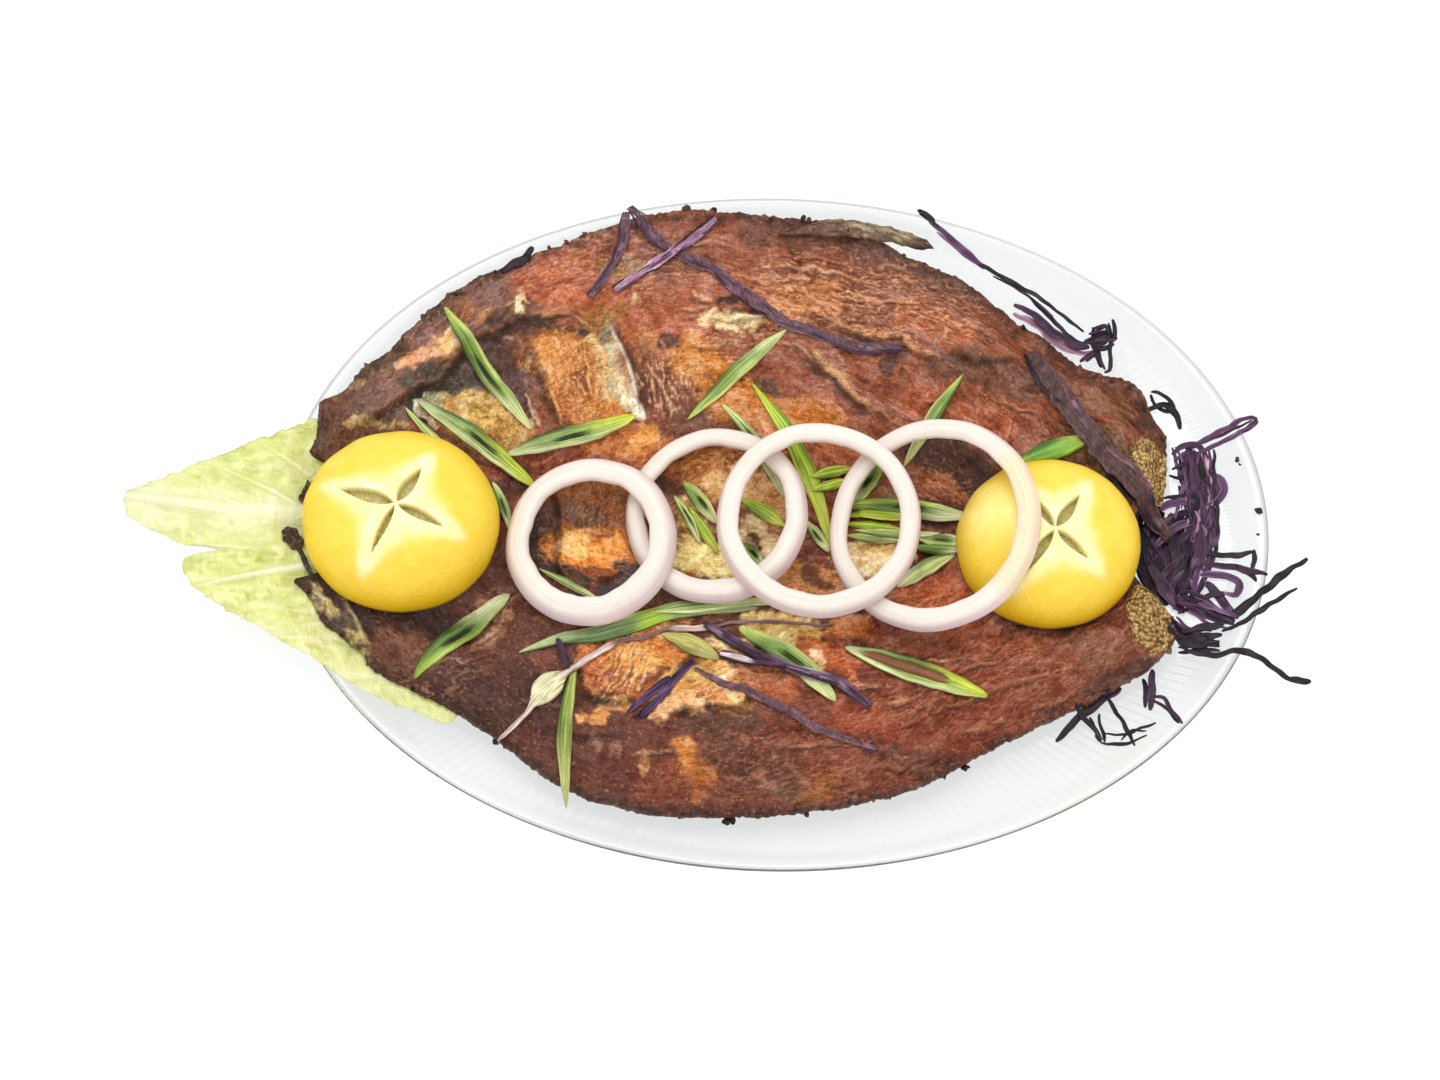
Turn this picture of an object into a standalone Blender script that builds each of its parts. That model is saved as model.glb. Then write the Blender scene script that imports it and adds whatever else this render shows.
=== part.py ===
"""A butterflied, deep-fried milkfish on an oval glass platter, with its garnish.

All sizes are in millimetres and become metres when a mesh is made. The origin is the middle of
the platter's flat foot, +X runs to the tail, +Y to the platter's far side and +Z up. Pieces are
laid one on another from the platter upwards, each a small gap above what carries it.
"""

import math

import bmesh
import bpy
import numpy as np
from mathutils import Vector
from mathutils.bvhtree import BVHTree

MM = 0.001
GAP = 0.35                  # clear space left between pieces that touch

# --- platter ---------------------------------------------------------------------------------
PLATE_HALF_LENGTH = 160.0
PLATE_HALF_WIDTH = 113.4
PLATE_RIM = 22.0            # height of the rim
PLATE_WELL = 3.6            # glass thickness in the flat middle
PLATE_WALL = 3.0            # glass thickness up the side
WELL_SHARE = 0.54           # flat middle, as a share of the whole oval
FOOT_SHARE = 0.56
SLOPE_POWER = 1.5

# --- fish ------------------------------------------------------------------------------------
FISH_UPPER = [              # far edge, from the notch between the tails to the mouth
    (105, -6), (115, 2), (126, 9), (128, 20), (127, 34), (117, 48), (99, 58), (80, 72), (60, 86),
    (40, 95), (19, 101), (-5, 106), (-33, 107), (-59, 100), (-82, 90), (-100, 81), (-111, 70),
    (-124, 59), (-137, 46), (-149, 34), (-150, 20), (-144, 15), (-139, 1), (-136, -10),
]
FISH_LOWER = [              # near edge, from the mouth back to the notch
    (-136, -10), (-140, -24), (-152, -23), (-138, -40), (-123, -54), (-108, -62), (-92, -71),
    (-76, -83), (-62, -91), (-38, -97), (-11, -97), (18, -94), (45, -87), (66, -76), (89, -63),
    (106, -54), (120, -45), (128, -38), (128, -28), (119, -16), (105, -6),
]
FISH_SPINE = 88.0           # half length of the line that the rows of the mesh spread from
FISH_EDGE = 5.0             # thickness at the rim of the fish
FISH_THICK = 15.0           # thickness of the flesh inside that rim
FISH_SIDES = 92
FISH_ROWS = 12
FISH_UNDER_ROWS = 4
FISH_BULGE = 1.008          # how far the side of the fish stands out, as a share of its reach
FISH_COLOUR = (0.42, 0.2, 0.1)

# Ridges and hollows of the split fish: two ends, half width, height.
FISH_RIDGES = [
    ((-60, 62), (60, 56), 24, 4.5),         # far fillet
    ((-40, -66), (70, -52), 22, 4.5),       # near fillet
    ((-70, 4), (60, -4), 22, -4.0),         # opened belly
    ((-141, 30), (-84, 76), 8, 4.0),        # far half of the head
    ((-84, 76), (-72, 28), 8, 3.0),         # far collar
    ((-112, 44), (-92, 50), 9, -7.0),       # gill hollow
    ((-100, 32), (-88, 34), 8, 3.0),
    ((-52, 62), (-46, 38), 5, 3.5),         # crest of the belly skin
    ((-146, -26), (-104, -52), 7, 3.0),     # near half of the head
    ((-104, -52), (-78, -34), 8, 3.0),      # near collar
    ((-108, -34), (-92, -40), 8, -4.0),
    ((-58, -6), (-52, -12), 12, -3.0),
    ((-24, -62), (-14, -64), 8, 3.0),
    ((20, 70), (84, 46), 3, -1.6),
    ((0, 84), (60, 70), 3, -1.4),
    ((-10, -82), (80, -58), 3, -1.5),
    ((112, 40), (124, 16), 6, 2.0),         # far tail stump
    ((120, -26), (122, -38), 6, 2.0),       # near tail stump
]
FIN_PATH = [(0, 101), (18, 103), (34, 101.5), (51, 97)]
FIN_WIDTH = 7.0
FIN_THICK = 3.2

# --- lettuce ---------------------------------------------------------------------------------
LEAF_UPPER = [              # far edge, from the hidden base to the tip
    (-92, -12), (-98, 12), (-118, 32), (-136, 36), (-150, 32), (-175, 21), (-200, 11), (-211, 6),
    (-210, 1), (-206, -4), (-199, -8), (-189, -12), (-178, -14),
]
LEAF_LOWER = [              # near edge, from the tear back to the base
    (-178, -14), (-189, -17), (-188, -23), (-182, -29), (-164, -39), (-144, -50), (-128, -59),
    (-112, -64.5), (-101, -66), (-94, -40), (-92, -12),
]
LEAF_MIDDLE = (-140, -14)   # middle of the line that its rows spread from
LEAF_SPINE = 26.0
LEAF_THICK = 0.8
LEAF_WAVE = 1.3
LEAF_SIDES = 56
LEAF_ROWS = 6

# --- lemons: middle, radius, height; slits: direction in degrees, length, width ------------------
LEMONS = {
    "lemon_left": ((-119.5, -5), 30.2, 24.5,
                   ((163, 18, 4.6), (61, 14, 4.2), (-24, 16, 3.4), (-114, 18, 2.6))),
    "lemon_right": ((89, -6), 28.4, 21.5,
                    ((57, 14, 3.8), (121, 12, 2.8), (-43, 14, 3.2), (-124, 18, 3.6))),
}
LEMON_SQUARE = 2.35         # power of the dome's outline, rounder shouldered than an ellipse
SLIT_DEPTH = 4.5
SLIT_START = 1.4            # distance from the middle of the cross to the inner end of a slit

# --- onion rings: middle, half length, half width, wall, flare, height ---------------------------
RINGS = {
    "onion_ring_2": ((-19, -0.5), 29.7, 29.8, 4.4, 1.6, 7.0),
    "onion_ring_4": ((50, -4), 35.6, 35.6, 4.9, 1.6, 6.5),
    "onion_ring_1": ((-58.5, -11.5), 28.3, 28.8, 5.0, 3.0, 8.0),
    "onion_ring_3": ((14, -4), 33.4, 33.0, 4.8, 1.4, 7.5),
}
RING_SIDES = 28

# --- spring onion slices: path, width ------------------------------------------------------------
SLIVERS = {
    "upper_left": ([(-110, 71), (-96, 50), (-80, 30)], 5.2),
    "by_collar": ([(-88, 22), (-67, 28), (-46, 35)], 6.4),
    "above_lemon": ([(-117, 38), (-98, 26), (-78, 12)], 5.8),
    "head": ([(-121, 35), (-112, 26), (-104, 19)], 2.6),
    "far_middle": ([(-29, 35), (-13, 51), (3, 66)], 4.8),
    "long_middle": ([(-6, 46), (5, 30), (14, 8), (17, -6)], 4.2),
    "inner_left": ([(-18, 39), (-8, 28), (3, 8)], 3.6),
    "far_right": ([(61, 51), (52, 38), (42, 21)], 4.2),
    "crossing": ([(34, 19), (29, 12), (25, 5)], 4.0),
    "by_right_lemon": ([(80, 23), (90, 26), (100, 29)], 5.0),
    "lime_a": ([(-30, 13), (-25, 7), (-19, -1)], 4.4),
    "lime_b": ([(-28, 4), (-23, -4), (-18, -12)], 3.4),
    "ring_a": ([(-9, 6), (-3, 2), (3, -3)], 4.2),
    "ring_b": ([(-11, -8), (-8, -12), (-6, -16)], 3.2),
    "ring_c": ([(11, 16), (17, 17), (23, 17)], 3.6),
    "dark_long": ([(24, 4), (42, 2), (60, 0)], 4.6),
    "middle_a": ([(24, -1), (32, -2), (41, -3)], 3.4),
    "middle_b": ([(23, -6), (31, -7), (39, -8)], 3.2),
    "middle_c": ([(46, -5), (53, -7), (60, -8)], 3.6),
    "middle_d": ([(57, -11), (49, -15), (40, -21)], 4.2),
    "near_left": ([(-114, -54), (-100, -40), (-85, -25)], 6.6),
    "beside_lemon": ([(-92, 12), (-88, 4), (-85, -5)], 3.0),
    "thin": ([(-76, -16), (-66, -21), (-56, -26)], 2.4),
    "near_long": ([(-81, -45), (-69, -40), (-57, -38), (-42, -33), (-28, -29), (-5, -28)], 5.6),
    "near_middle": ([(-11, -35), (8, -47), (20, -59)], 6.6),
    "olive": ([(-34, -38), (-26, -42), (-18, -45)], 5.2),
    "near_upright": ([(-63, -46), (-66, -71), (-64, -94)], 5.0),
    "near_right": ([(23, -41), (45, -49), (68, -57)], 7.0),
}
SLIVER_THICK = 1.8

# --- red cabbage shreds: path, width. A node holds one shred or several that are fused ------------
SHREDS = {
    "cabbage_star_a": [([(-51, 107), (-52, 92), (-62, 74)], 2.8)],
    "cabbage_star_long": [([(-50, 109), (-42, 98), (-34, 92), (-22, 86), (-15, 80), (-5, 73),
                            (14, 64), (30, 59), (41, 61)], 3.0)],
    "cabbage_star_b": [([(-21, 105), (-35, 92), (-54, 77)], 2.8)],
    "cabbage_chip": [([(-92, 84), (-87, 88), (-82, 94)], 2.6)],
    "cabbage_far_a": [([(46, 107), (54, 100), (62, 93), (74, 86), (87, 79), (101, 68)], 3.0)],
    "cabbage_far_b": [([(79, 79), (87, 71), (95, 65), (106, 64)], 6.0),
                      ([(99, 62), (106, 66), (110, 72)], 3.4),
                      ([(102, 68), (108, 63), (112, 56)], 3.4),
                      ([(100, 66), (105, 60), (104, 53)], 3.0)],
    "cabbage_curl": [([(123, 50), (128, 46), (132, 36)], 3.2)],
    "cabbage_pale": [([(-87, -73), (-79, -66), (-72, -57), (-64, -50), (-51, -41), (-42, -39),
                       (-32, -36), (-20, -35), (-12, -33), (4, -33), (19, -34)], 3.0)],
    "cabbage_near_a": [([(-22, -34), (-12, -40), (-4, -45), (8, -50), (20, -53), (31, -61)], 3.4)],
    "cabbage_near_b": [([(-26, -47), (-33, -57), (-45, -67)], 4.4)],
    "cabbage_near_c": [([(-25, -49), (-16, -54), (-8, -57), (4, -62), (16, -69), (33, -74)], 2.8)],
    "cabbage_near_d": [([(-17, -44), (-7, -47), (4, -49)], 2.6)],
    "cabbage_near_e": [([(-69, -40), (-67, -45), (-65, -50)], 2.6)],
    "cabbage_below_tail": [([(121, -51), (110, -56), (98, -61), (90, -70)], 3.6),
                           ([(97, -59), (101, -64), (106, -71)], 2.6),
                           ([(106, -55), (112, -62), (115, -71)], 2.6),
                           ([(102, -66), (112, -66), (123, -63)], 2.4),
                           ([(119, -49), (121, -56), (120, -62)], 3.0),
                           ([(115, -55), (122, -57), (130, -65)], 3.0)],
    "cabbage_tangle": [([(135, 29), (136, 14), (140, -3), (137, -22), (136, -40)], 9.0),
                       ([(135, 18), (138, 28), (146, 35), (155, 40), (158, 37)], 3.2),
                       ([(133, 22), (143, 27), (153, 35)], 3.0),
                       ([(131, 20), (138, 20), (146, 17), (148, 11)], 5.0),
                       ([(116, -6), (127, -6), (141, -2), (156, -9)], 6.5),
                       ([(132, 8), (142, 3), (150, 4)], 4.0),
                       ([(134, -8), (146, -12), (159, -15)], 4.2),
                       ([(131, -13), (141, -17), (150, -20)], 5.5),
                       ([(131, -26), (141, -27), (147, -32)], 6.0),
                       ([(132, -35), (145, -32), (156, -24), (172, -9)], 3.6),
                       ([(133, -39), (146, -36), (156, -28), (167, -19)], 3.4),
                       ([(133, -35), (143, -41), (151, -41), (162, -48), (171, -50)], 3.4)],
    "cabbage_band": [([(82, 61), (90, 47), (99, 34), (112, 21), (122, 10), (131, 0)], 9.0)],
}
SHRED_THICK = 1.7
CLUMP_THICK = 3.6           # the first shred of a fused clump, which carries the others


# --- curves and meshes ---------------------------------------------------------------------------
def smooth(points, count):
    """Equally spaced points along a smooth curve through the given ones."""
    knots = np.array(points, float)
    padded = np.vstack([2 * knots[0] - knots[1], knots, 2 * knots[-1] - knots[-2]])
    steps = np.linspace(0, 1, 12, endpoint=False)[:, None]
    fine = []
    for a, b, c, d in zip(padded, padded[1:], padded[2:], padded[3:]):
        slope_b = (c - a) / 2
        slope_c = (d - b) / 2
        fine.append((2 * steps**3 - 3 * steps**2 + 1) * b + (steps**3 - 2 * steps**2 + steps) * slope_b
                    + (3 * steps**2 - 2 * steps**3) * c + (steps**3 - steps**2) * slope_c)
    fine = np.vstack([*fine, knots[-1:]])
    length = np.concatenate([[0], np.cumsum(np.linalg.norm(np.diff(fine, axis=0), axis=1))])
    places = np.linspace(0, length[-1], count)
    return np.column_stack([np.interp(places, length, column) for column in fine.T])


def ramp(value, low, high):
    """0 below low, 1 above high, and a smooth rise between them."""
    t = np.clip((value - low) / (high - low), 0, 1)
    return t * t * (3 - 2 * t)


def loft(rings, wrap=False):
    """Join equal rings of points with triangles, and cap the two ends or close the loop."""
    count = len(rings[0])
    points = np.concatenate(rings)
    faces = []
    for i in range(len(rings) if wrap else len(rings) - 1):
        low = i * count
        high = (i + 1) % len(rings) * count
        for j in range(count):
            k = (j + 1) % count
            faces.append((low + j, low + k, high + k))
            faces.append((low + j, high + k, high + j))
    if not wrap:
        for row in (0, len(rings) - 1):
            hub = len(points)
            points = np.vstack([points, rings[row].mean(axis=0)])
            edge = [row * count + j for j in range(count)]
            faces += [(hub, a, b) for a, b in zip(edge, edge[1:] + edge[:1])]
    return points, faces


def make(name, points, faces, colour, roughness, angle=40):
    """An object with its own material, its faces turned outwards and its round parts smooth."""
    mesh = bpy.data.meshes.new(name)
    mesh.from_pydata([Vector(point) * MM for point in points], [], faces)
    body = bmesh.new()
    body.from_mesh(mesh)
    bmesh.ops.recalc_face_normals(body, faces=body.faces)
    body.to_mesh(mesh)
    body.free()
    mesh.shade_smooth()
    mesh.set_sharp_from_angle(angle=math.radians(angle))
    piece = bpy.data.objects.new(name, mesh)
    bpy.context.collection.objects.link(piece)
    material = bpy.data.materials.new(name)
    material.use_nodes = True
    shader = material.node_tree.nodes["Principled BSDF"]
    shader.inputs["Base Color"].default_value = (*colour, 1)
    shader.inputs["Roughness"].default_value = roughness
    shader.inputs["Metallic"].default_value = 0
    mesh.materials.append(material)
    return piece


class Pile:
    """The pieces laid so far, read from above."""

    def __init__(self):
        self.layers = []

    def add(self, piece):
        """Put a finished piece on the pile."""
        mesh = piece.data
        mesh.calc_loop_triangles()
        corners = [vertex.co / MM for vertex in mesh.vertices]
        faces = [tuple(triangle.vertices) for triangle in mesh.loop_triangles]
        places = np.array([corner[:2] for corner in corners])
        tree = BVHTree.FromPolygons(corners, faces)
        self.layers.append((places.min(axis=0), places.max(axis=0), tree))

    def top(self, x, y):
        """Height of the pile at a place, 0 where it is empty."""
        best = 0.0
        for low, high, tree in self.layers:
            if low[0] <= x <= high[0] and low[1] <= y <= high[1]:
                hit = tree.ray_cast(Vector((x, y, 300)), Vector((0, 0, -1)))[0]
                if hit is not None:
                    best = max(best, hit.z)
        return best


def settle(points, faces, groups, pile, rounds=60):
    """Lift groups of points, each as little as it can, until every face clears the pile."""
    steps = 7
    shares = np.array([(a, b, steps - a - b) for a in range(steps + 1)
                       for b in range(steps + 1 - a)]) / steps
    corners = np.repeat(np.array(faces), len(shares), axis=0)
    shares = np.tile(shares, (len(faces), 1))
    places = np.einsum("sk,ska->sa", shares, points[corners])
    floor = np.array([pile.top(x, y) for x, y, _ in places]) + GAP
    owners = groups[corners]
    lift = np.zeros(groups.max() + 1)
    for _ in range(rounds):
        need = floor - places[:, 2] - (shares * lift[owners]).sum(axis=1)
        short = np.flatnonzero(need > 0.01)
        if not len(short):
            break
        for sample in short:
            owner = owners[sample]
            share = shares[sample]
            missing = floor[sample] - places[sample, 2] - share @ lift[owner]
            if missing > 0:
                pull = {one: share[owner == one].sum() for one in owner}
                total = sum(amount**2 for amount in pull.values())
                for one, amount in pull.items():
                    lift[one] += missing * amount / total
    points[:, 2] += lift[groups]
    return points


# --- platter ---------------------------------------------------------------------------------
def plate_height(x, y):
    """The platter's upper face: a flat well and a side that rises to the rim."""
    share = np.hypot(np.asarray(x) / PLATE_HALF_LENGTH, np.asarray(y) / PLATE_HALF_WIDTH)
    rise = np.clip((share - WELL_SHARE) / (1 - WELL_SHARE), 0, 1.35)
    return PLATE_WELL + (PLATE_RIM - PLATE_WELL) * rise**SLOPE_POWER


def plate():
    """One turned oval of glass: well, side, round rim, underside and flat foot."""
    sides = 52
    angles = np.arange(sides) / sides * 2 * math.pi
    profile = []
    for share in (0.3, WELL_SHARE, 0.64, 0.73, 0.82, 0.9, 0.965):
        profile.append((share, float(plate_height(share * PLATE_HALF_LENGTH, 0))))
    profile += [(0.99, PLATE_RIM), (1.0, PLATE_RIM - 0.9), (0.997, PLATE_RIM - 2.4)]
    for share in (0.9, 0.78, 0.66):
        top = float(plate_height(share * PLATE_HALF_LENGTH, 0))
        profile.append((share + 0.006, top - PLATE_WALL * ramp(share, 0.45, 0.72)))
    profile += [(FOOT_SHARE, 0.0), (0.3, 0.0)]
    rings = []
    for share, height in profile:
        rings.append(np.column_stack([share * PLATE_HALF_LENGTH * np.cos(angles),
                                      share * PLATE_HALF_WIDTH * np.sin(angles),
                                      np.full(sides, height)]))
    return make("plate", *loft(rings), (0.85, 0.88, 0.86), 0.08)


# --- leaf-shaped bodies: the fish and the lettuce ------------------------------------------------
def spread(upper, lower, middle, spine, sides, shares):
    """Rows of points from a line inside an outline out to the outline, and where they are."""
    edge = np.vstack([smooth(upper, sides // 2 + 1)[:-1], smooth(lower, sides // 2 + 1)[:-1]])
    turn = np.arange(sides) / sides * 2 * math.pi
    core = np.column_stack([middle[0] + spine * np.cos(turn), np.full(sides, middle[1])])
    return [core + share * (edge - core) for share in shares]


def close_rows(rows, sides):
    """Triangles between rows of a leaf-shaped body, whose first and last rows fold flat."""
    count = len(rows)
    fold = [min(j, sides - j) for j in range(sides)]
    first = np.array([rows[0][j] for j in range(sides // 2 + 1)])
    last = np.array([rows[-1][j] for j in range(sides // 2 + 1)])
    points = np.vstack([first, *rows[1:-1], last])
    start = len(first)

    def index(row, j):
        if row == 0:
            return fold[j]
        if row == count - 1:
            return start + (count - 2) * sides + fold[j]
        return start + (row - 1) * sides + j

    faces = []
    for row in range(count - 1):
        for j in range(sides):
            k = (j + 1) % sides
            square = (index(row, j), index(row, k), index(row + 1, k), index(row + 1, j))
            for face in ((square[0], square[1], square[2]), (square[0], square[2], square[3])):
                if len(set(face)) == 3:
                    faces.append(face)
    return points, faces


def leaf_height(x, y):
    """Underside of the lettuce: up the platter's side, over the rim and out, in waves."""
    beyond = np.clip(-x - PLATE_HALF_LENGTH, 0, 60)
    bed = np.minimum(plate_height(x, y), PLATE_RIM + 0.6) + 0.06 * beyond
    ripple = 0.5 + 0.5 * np.sin(x * 0.21 + y * 0.13) * np.cos(y * 0.3 - x * 0.05)
    return bed + 0.5 + LEAF_WAVE * ripple


def lettuce(pile):
    """A thin wavy leaf under the head of the fish, hanging over the rim."""
    shares = np.linspace(0, 1, LEAF_ROWS)
    flat = spread(LEAF_UPPER, LEAF_LOWER, LEAF_MIDDLE, LEAF_SPINE, LEAF_SIDES, shares)
    upper = [np.column_stack([row, leaf_height(*row.T) + LEAF_THICK]) for row in flat]
    under = [np.column_stack([row, leaf_height(*row.T)]) for row in flat[::-1]]
    points, faces = close_rows(upper + under, LEAF_SIDES)
    groups = pair_by_place(points)
    return make("lettuce_leaf", settle(points, faces, groups, pile), faces, (0.72, 0.78, 0.3), 0.5)


def pair_by_place(points):
    """Give points that lie one above another the same group."""
    keys = [tuple(np.round(point[:2], 3)) for point in points]
    order = {key: number for number, key in enumerate(dict.fromkeys(keys))}
    return np.array([order[key] for key in keys])


def along(x, y, start, end, half_width, height):
    """A ridge, or a hollow where the height is negative, along a straight line."""
    start = np.array(start, float)
    run = np.array(end, float) - start
    share = np.clip(((x - start[0]) * run[0] + (y - start[1]) * run[1]) / (run @ run), 0, 1)
    away = np.hypot(x - start[0] - share * run[0], y - start[1] - share * run[1])
    return height * np.exp(-(away / half_width) ** 2)


def seat(x, y, height):
    """Level the fish under each lemon."""
    for (middle_x, middle_y), radius, _, _ in LEMONS.values():
        away = np.hypot(x - middle_x, y - middle_y)
        level = float(plate_height(middle_x, middle_y)) + FISH_THICK
        height = height + (level - height) * (1 - ramp(away, radius - 4, radius + 8))
    return height


def fish_height(x, y, share):
    """Upper face of the fish: a rounded edge, two fillets, the opened belly and the head."""
    rim = FISH_EDGE + (FISH_THICK - FISH_EDGE) * ramp(share, 1.0, 0.72)
    relief = sum(along(x, y, *ridge) for ridge in FISH_RIDGES)
    crags = 1.1 * np.sin(x * 0.31 + 1.7 * np.sin(y * 0.17)) * np.cos(y * 0.37 + np.sin(x * 0.11))
    body = plate_height(x, y) + rim + relief * ramp(share, 1.05, 0.8) + crags * ramp(share, 1.1, 0.9)
    return seat(x, y, body)


def fish(pile):
    """The split fish in one solid: flesh side up, skin side on the platter and the leaf."""
    upper_shares = 1 - (1 - np.linspace(0, 1, FISH_ROWS)) ** 1.35
    under_shares = np.linspace(0.985, 0, FISH_UNDER_ROWS + 1)
    shares = [*upper_shares, FISH_BULGE, *under_shares]
    rows = spread(FISH_UPPER, FISH_LOWER, (0, 0), FISH_SPINE, FISH_SIDES, shares)
    upper = [np.column_stack([row, fish_height(*row.T, share)])
             for row, share in zip(rows, upper_shares)]
    rim = rows[FISH_ROWS]
    side = [np.column_stack([rim, (plate_height(*rim.T) + upper[-1][:, 2]) / 2 + 0.8])]
    under = [np.column_stack([row, plate_height(*row.T) + GAP]) for row in rows[FISH_ROWS + 1:]]
    points, faces = close_rows(upper + side + under, FISH_SIDES)
    first_under = len(points) - FISH_UNDER_ROWS * FISH_SIDES - FISH_SIDES // 2 - 1
    lower_faces = [face for face in faces if min(face) >= first_under]
    settled = settle(points.copy(), lower_faces, np.arange(len(points)), pile)
    points[first_under:] = settled[first_under:]
    body = make("fish", points, faces, FISH_COLOUR, 0.45)
    fin_points, fin_faces = strip(FIN_PATH, FIN_WIDTH, FIN_THICK, 10, 8, blunt=0.5)
    fin_points[:, 2] += plate_height(*fin_points[:, :2].T) + FISH_EDGE + 0.2
    return fuse(body, [make("fin", fin_points, fin_faces, FISH_COLOUR, 0.45)])


# --- joining -------------------------------------------------------------------------------------
def fuse(base, extras):
    """One closed solid from a piece and those that cross it."""
    group = bpy.data.collections.new("extras")
    for extra in extras:
        group.objects.link(extra)
    union = base.modifiers.new("union", "BOOLEAN")
    union.operation = "UNION"
    union.operand_type = "COLLECTION"
    union.collection = group
    union.solver = "EXACT"
    apply_modifiers(base)
    for extra in extras:
        bpy.data.objects.remove(extra)
    bpy.data.collections.remove(group)
    return base


def apply_modifiers(piece):
    """Replace a piece's mesh by what its modifiers make of it."""
    bpy.context.view_layer.update()
    graph = bpy.context.evaluated_depsgraph_get()
    piece.data = bpy.data.meshes.new_from_object(piece.evaluated_get(graph))
    piece.modifiers.clear()


# --- lemons --------------------------------------------------------------------------------------
def slit_cutter(height, direction, length, width):
    """A blade with a lens-shaped outline, standing in the top of a lemon."""
    turn = math.radians(direction)
    forward = np.array([math.cos(turn), math.sin(turn)])
    aside = np.array([-forward[1], forward[0]])
    steps = np.linspace(0, 1, 6)
    outline = [(SLIT_START + length * t, width / 2 * math.sin(math.pi * t)) for t in steps]
    outline += [(u, -v) for u, v in outline[-2:0:-1]]
    flat = np.array([forward * u + aside * v for u, v in outline])
    levels = (height - SLIT_DEPTH, height + 10)
    rings = [np.column_stack([flat, np.full(len(flat), level)]) for level in levels]
    return make("cutter", *loft(rings), (1, 1, 1), 0.5)


def resting_plane(places, pile):
    """The lowest plane over the pile below the given places: slope in x, slope in y, height."""
    heights = np.array([pile.top(x, y) for x, y in places]) + GAP
    middle = places.mean(axis=0)
    offsets = places - middle
    best = None
    for slope_x in np.linspace(-0.4, 0.4, 81):
        for slope_y in np.linspace(-0.3, 0.3, 61):
            level = (heights - slope_x * offsets[:, 0] - slope_y * offsets[:, 1]).max()
            if best is None or level < best[2] - 1e-6:
                best = (slope_x, slope_y, level)
    return best


def lay_rigid(points, middle, plane):
    """Tilt a stiff piece, made on the ground, to the plane that it rests on."""
    slope_x, slope_y, level = plane
    up = Vector((-slope_x, -slope_y, 1)).normalized()
    turn = np.array(Vector((0, 0, 1)).rotation_difference(up).to_matrix())
    return points @ turn.T + np.array([*middle, level])


def disc(middle, radii):
    """Places spread over rings of the given radii round a middle."""
    places = [np.array(middle, float)]
    for radius_x, radius_y in radii:
        for turn in np.arange(120) / 120 * 2 * math.pi:
            places.append(middle + np.array([radius_x * math.cos(turn), radius_y * math.sin(turn)]))
    return np.array(places)


def lemon(name, pile):
    """A lemon end, cut side down, with a cross of four slits in its top."""
    middle, radius, height, slits = LEMONS[name]
    sides = 24
    angles = np.arange(sides) / sides * 2 * math.pi
    rings = []
    for share in (1.0, 0.98, 0.91, 0.79, 0.62, 0.42, 0.2):
        reach = share * radius
        level = height * (1 - share**LEMON_SQUARE) ** (1 / LEMON_SQUARE)
        rings.append(np.column_stack([reach * np.cos(angles), reach * np.sin(angles),
                                      np.full(sides, level)]))
    points, faces = loft(rings)
    points[-1, 2] = height
    body = make(name, points, faces, (0.95, 0.82, 0.16), 0.35, angle=50)
    for number, slit in enumerate(slits):
        cut = body.modifiers.new(f"slit_{number}", "BOOLEAN")
        cut.operation = "DIFFERENCE"
        cut.solver = "EXACT"
        cut.object = slit_cutter(height, *slit)
    cutters = [cut.object for cut in body.modifiers]
    apply_modifiers(body)
    for cutter in cutters:
        bpy.data.objects.remove(cutter)
    radii = [(radius * share, radius * share) for share in (0.3, 0.6, 0.85, 1.0)]
    plane = resting_plane(disc(np.array(middle), radii), pile)
    move_mesh(body, lambda points: lay_rigid(points, middle, plane))
    return body


def move_mesh(piece, change):
    """Pass a piece's points, in millimetres, through a function."""
    points = np.array([vertex.co for vertex in piece.data.vertices]) / MM
    for vertex, point in zip(piece.data.vertices, change(points)):
        vertex.co = Vector(point) * MM


# --- onion rings ---------------------------------------------------------------------------------
def onion_ring(name, pile):
    """A slice of one onion layer: a low band that flares a little towards its lower edge."""
    middle, half_length, half_width, wall, flare, height = RINGS[name]
    section = [(-wall - flare, height), (-flare, height), (-0.3 * flare, height * 0.5), (0, 0),
               (-wall + 0.4, 0)]
    rings = []
    for turn in np.arange(RING_SIDES) / RING_SIDES * 2 * math.pi:
        rings.append(np.array([((half_length + out) * math.cos(turn),
                                (half_width + out) * math.sin(turn), up) for out, up in section]))
    points, faces = loft(rings, wrap=True)
    radii = [(half_length - inset, half_width - inset) for inset in np.linspace(0, wall, 5)]
    places = disc(np.array(middle), radii)[1:]
    plane = resting_plane(places, pile)
    return make(name, lay_rigid(points, middle, plane), faces, (0.93, 0.87, 0.88), 0.3, angle=50)


# --- spring onion and cabbage ---------------------------------------------------------------------
def strip(path, width, thick, stations, sides, blunt=0.18):
    """A flat strip with narrowed ends along a path, its underside on height 0."""
    line = smooth(path, stations)
    run = np.gradient(line, axis=0)
    run /= np.linalg.norm(run, axis=1)[:, None]
    rings = []
    for (x, y), (run_x, run_y), share in zip(line, run, np.linspace(0, 1, stations)):
        swell = blunt + (1 - blunt) * math.sin(math.pi * share) ** 0.7
        ring = []
        for turn in (np.arange(sides) + 0.5) / sides * 2 * math.pi:
            out = width / 2 * swell * math.cos(turn)
            up = thick / 2 * (0.5 + 0.5 * swell) * math.sin(turn)
            ring.append((x - run_y * out, y + run_x * out, up + thick / 2))
        rings.append(np.array(ring))
    return loft(rings)


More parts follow.
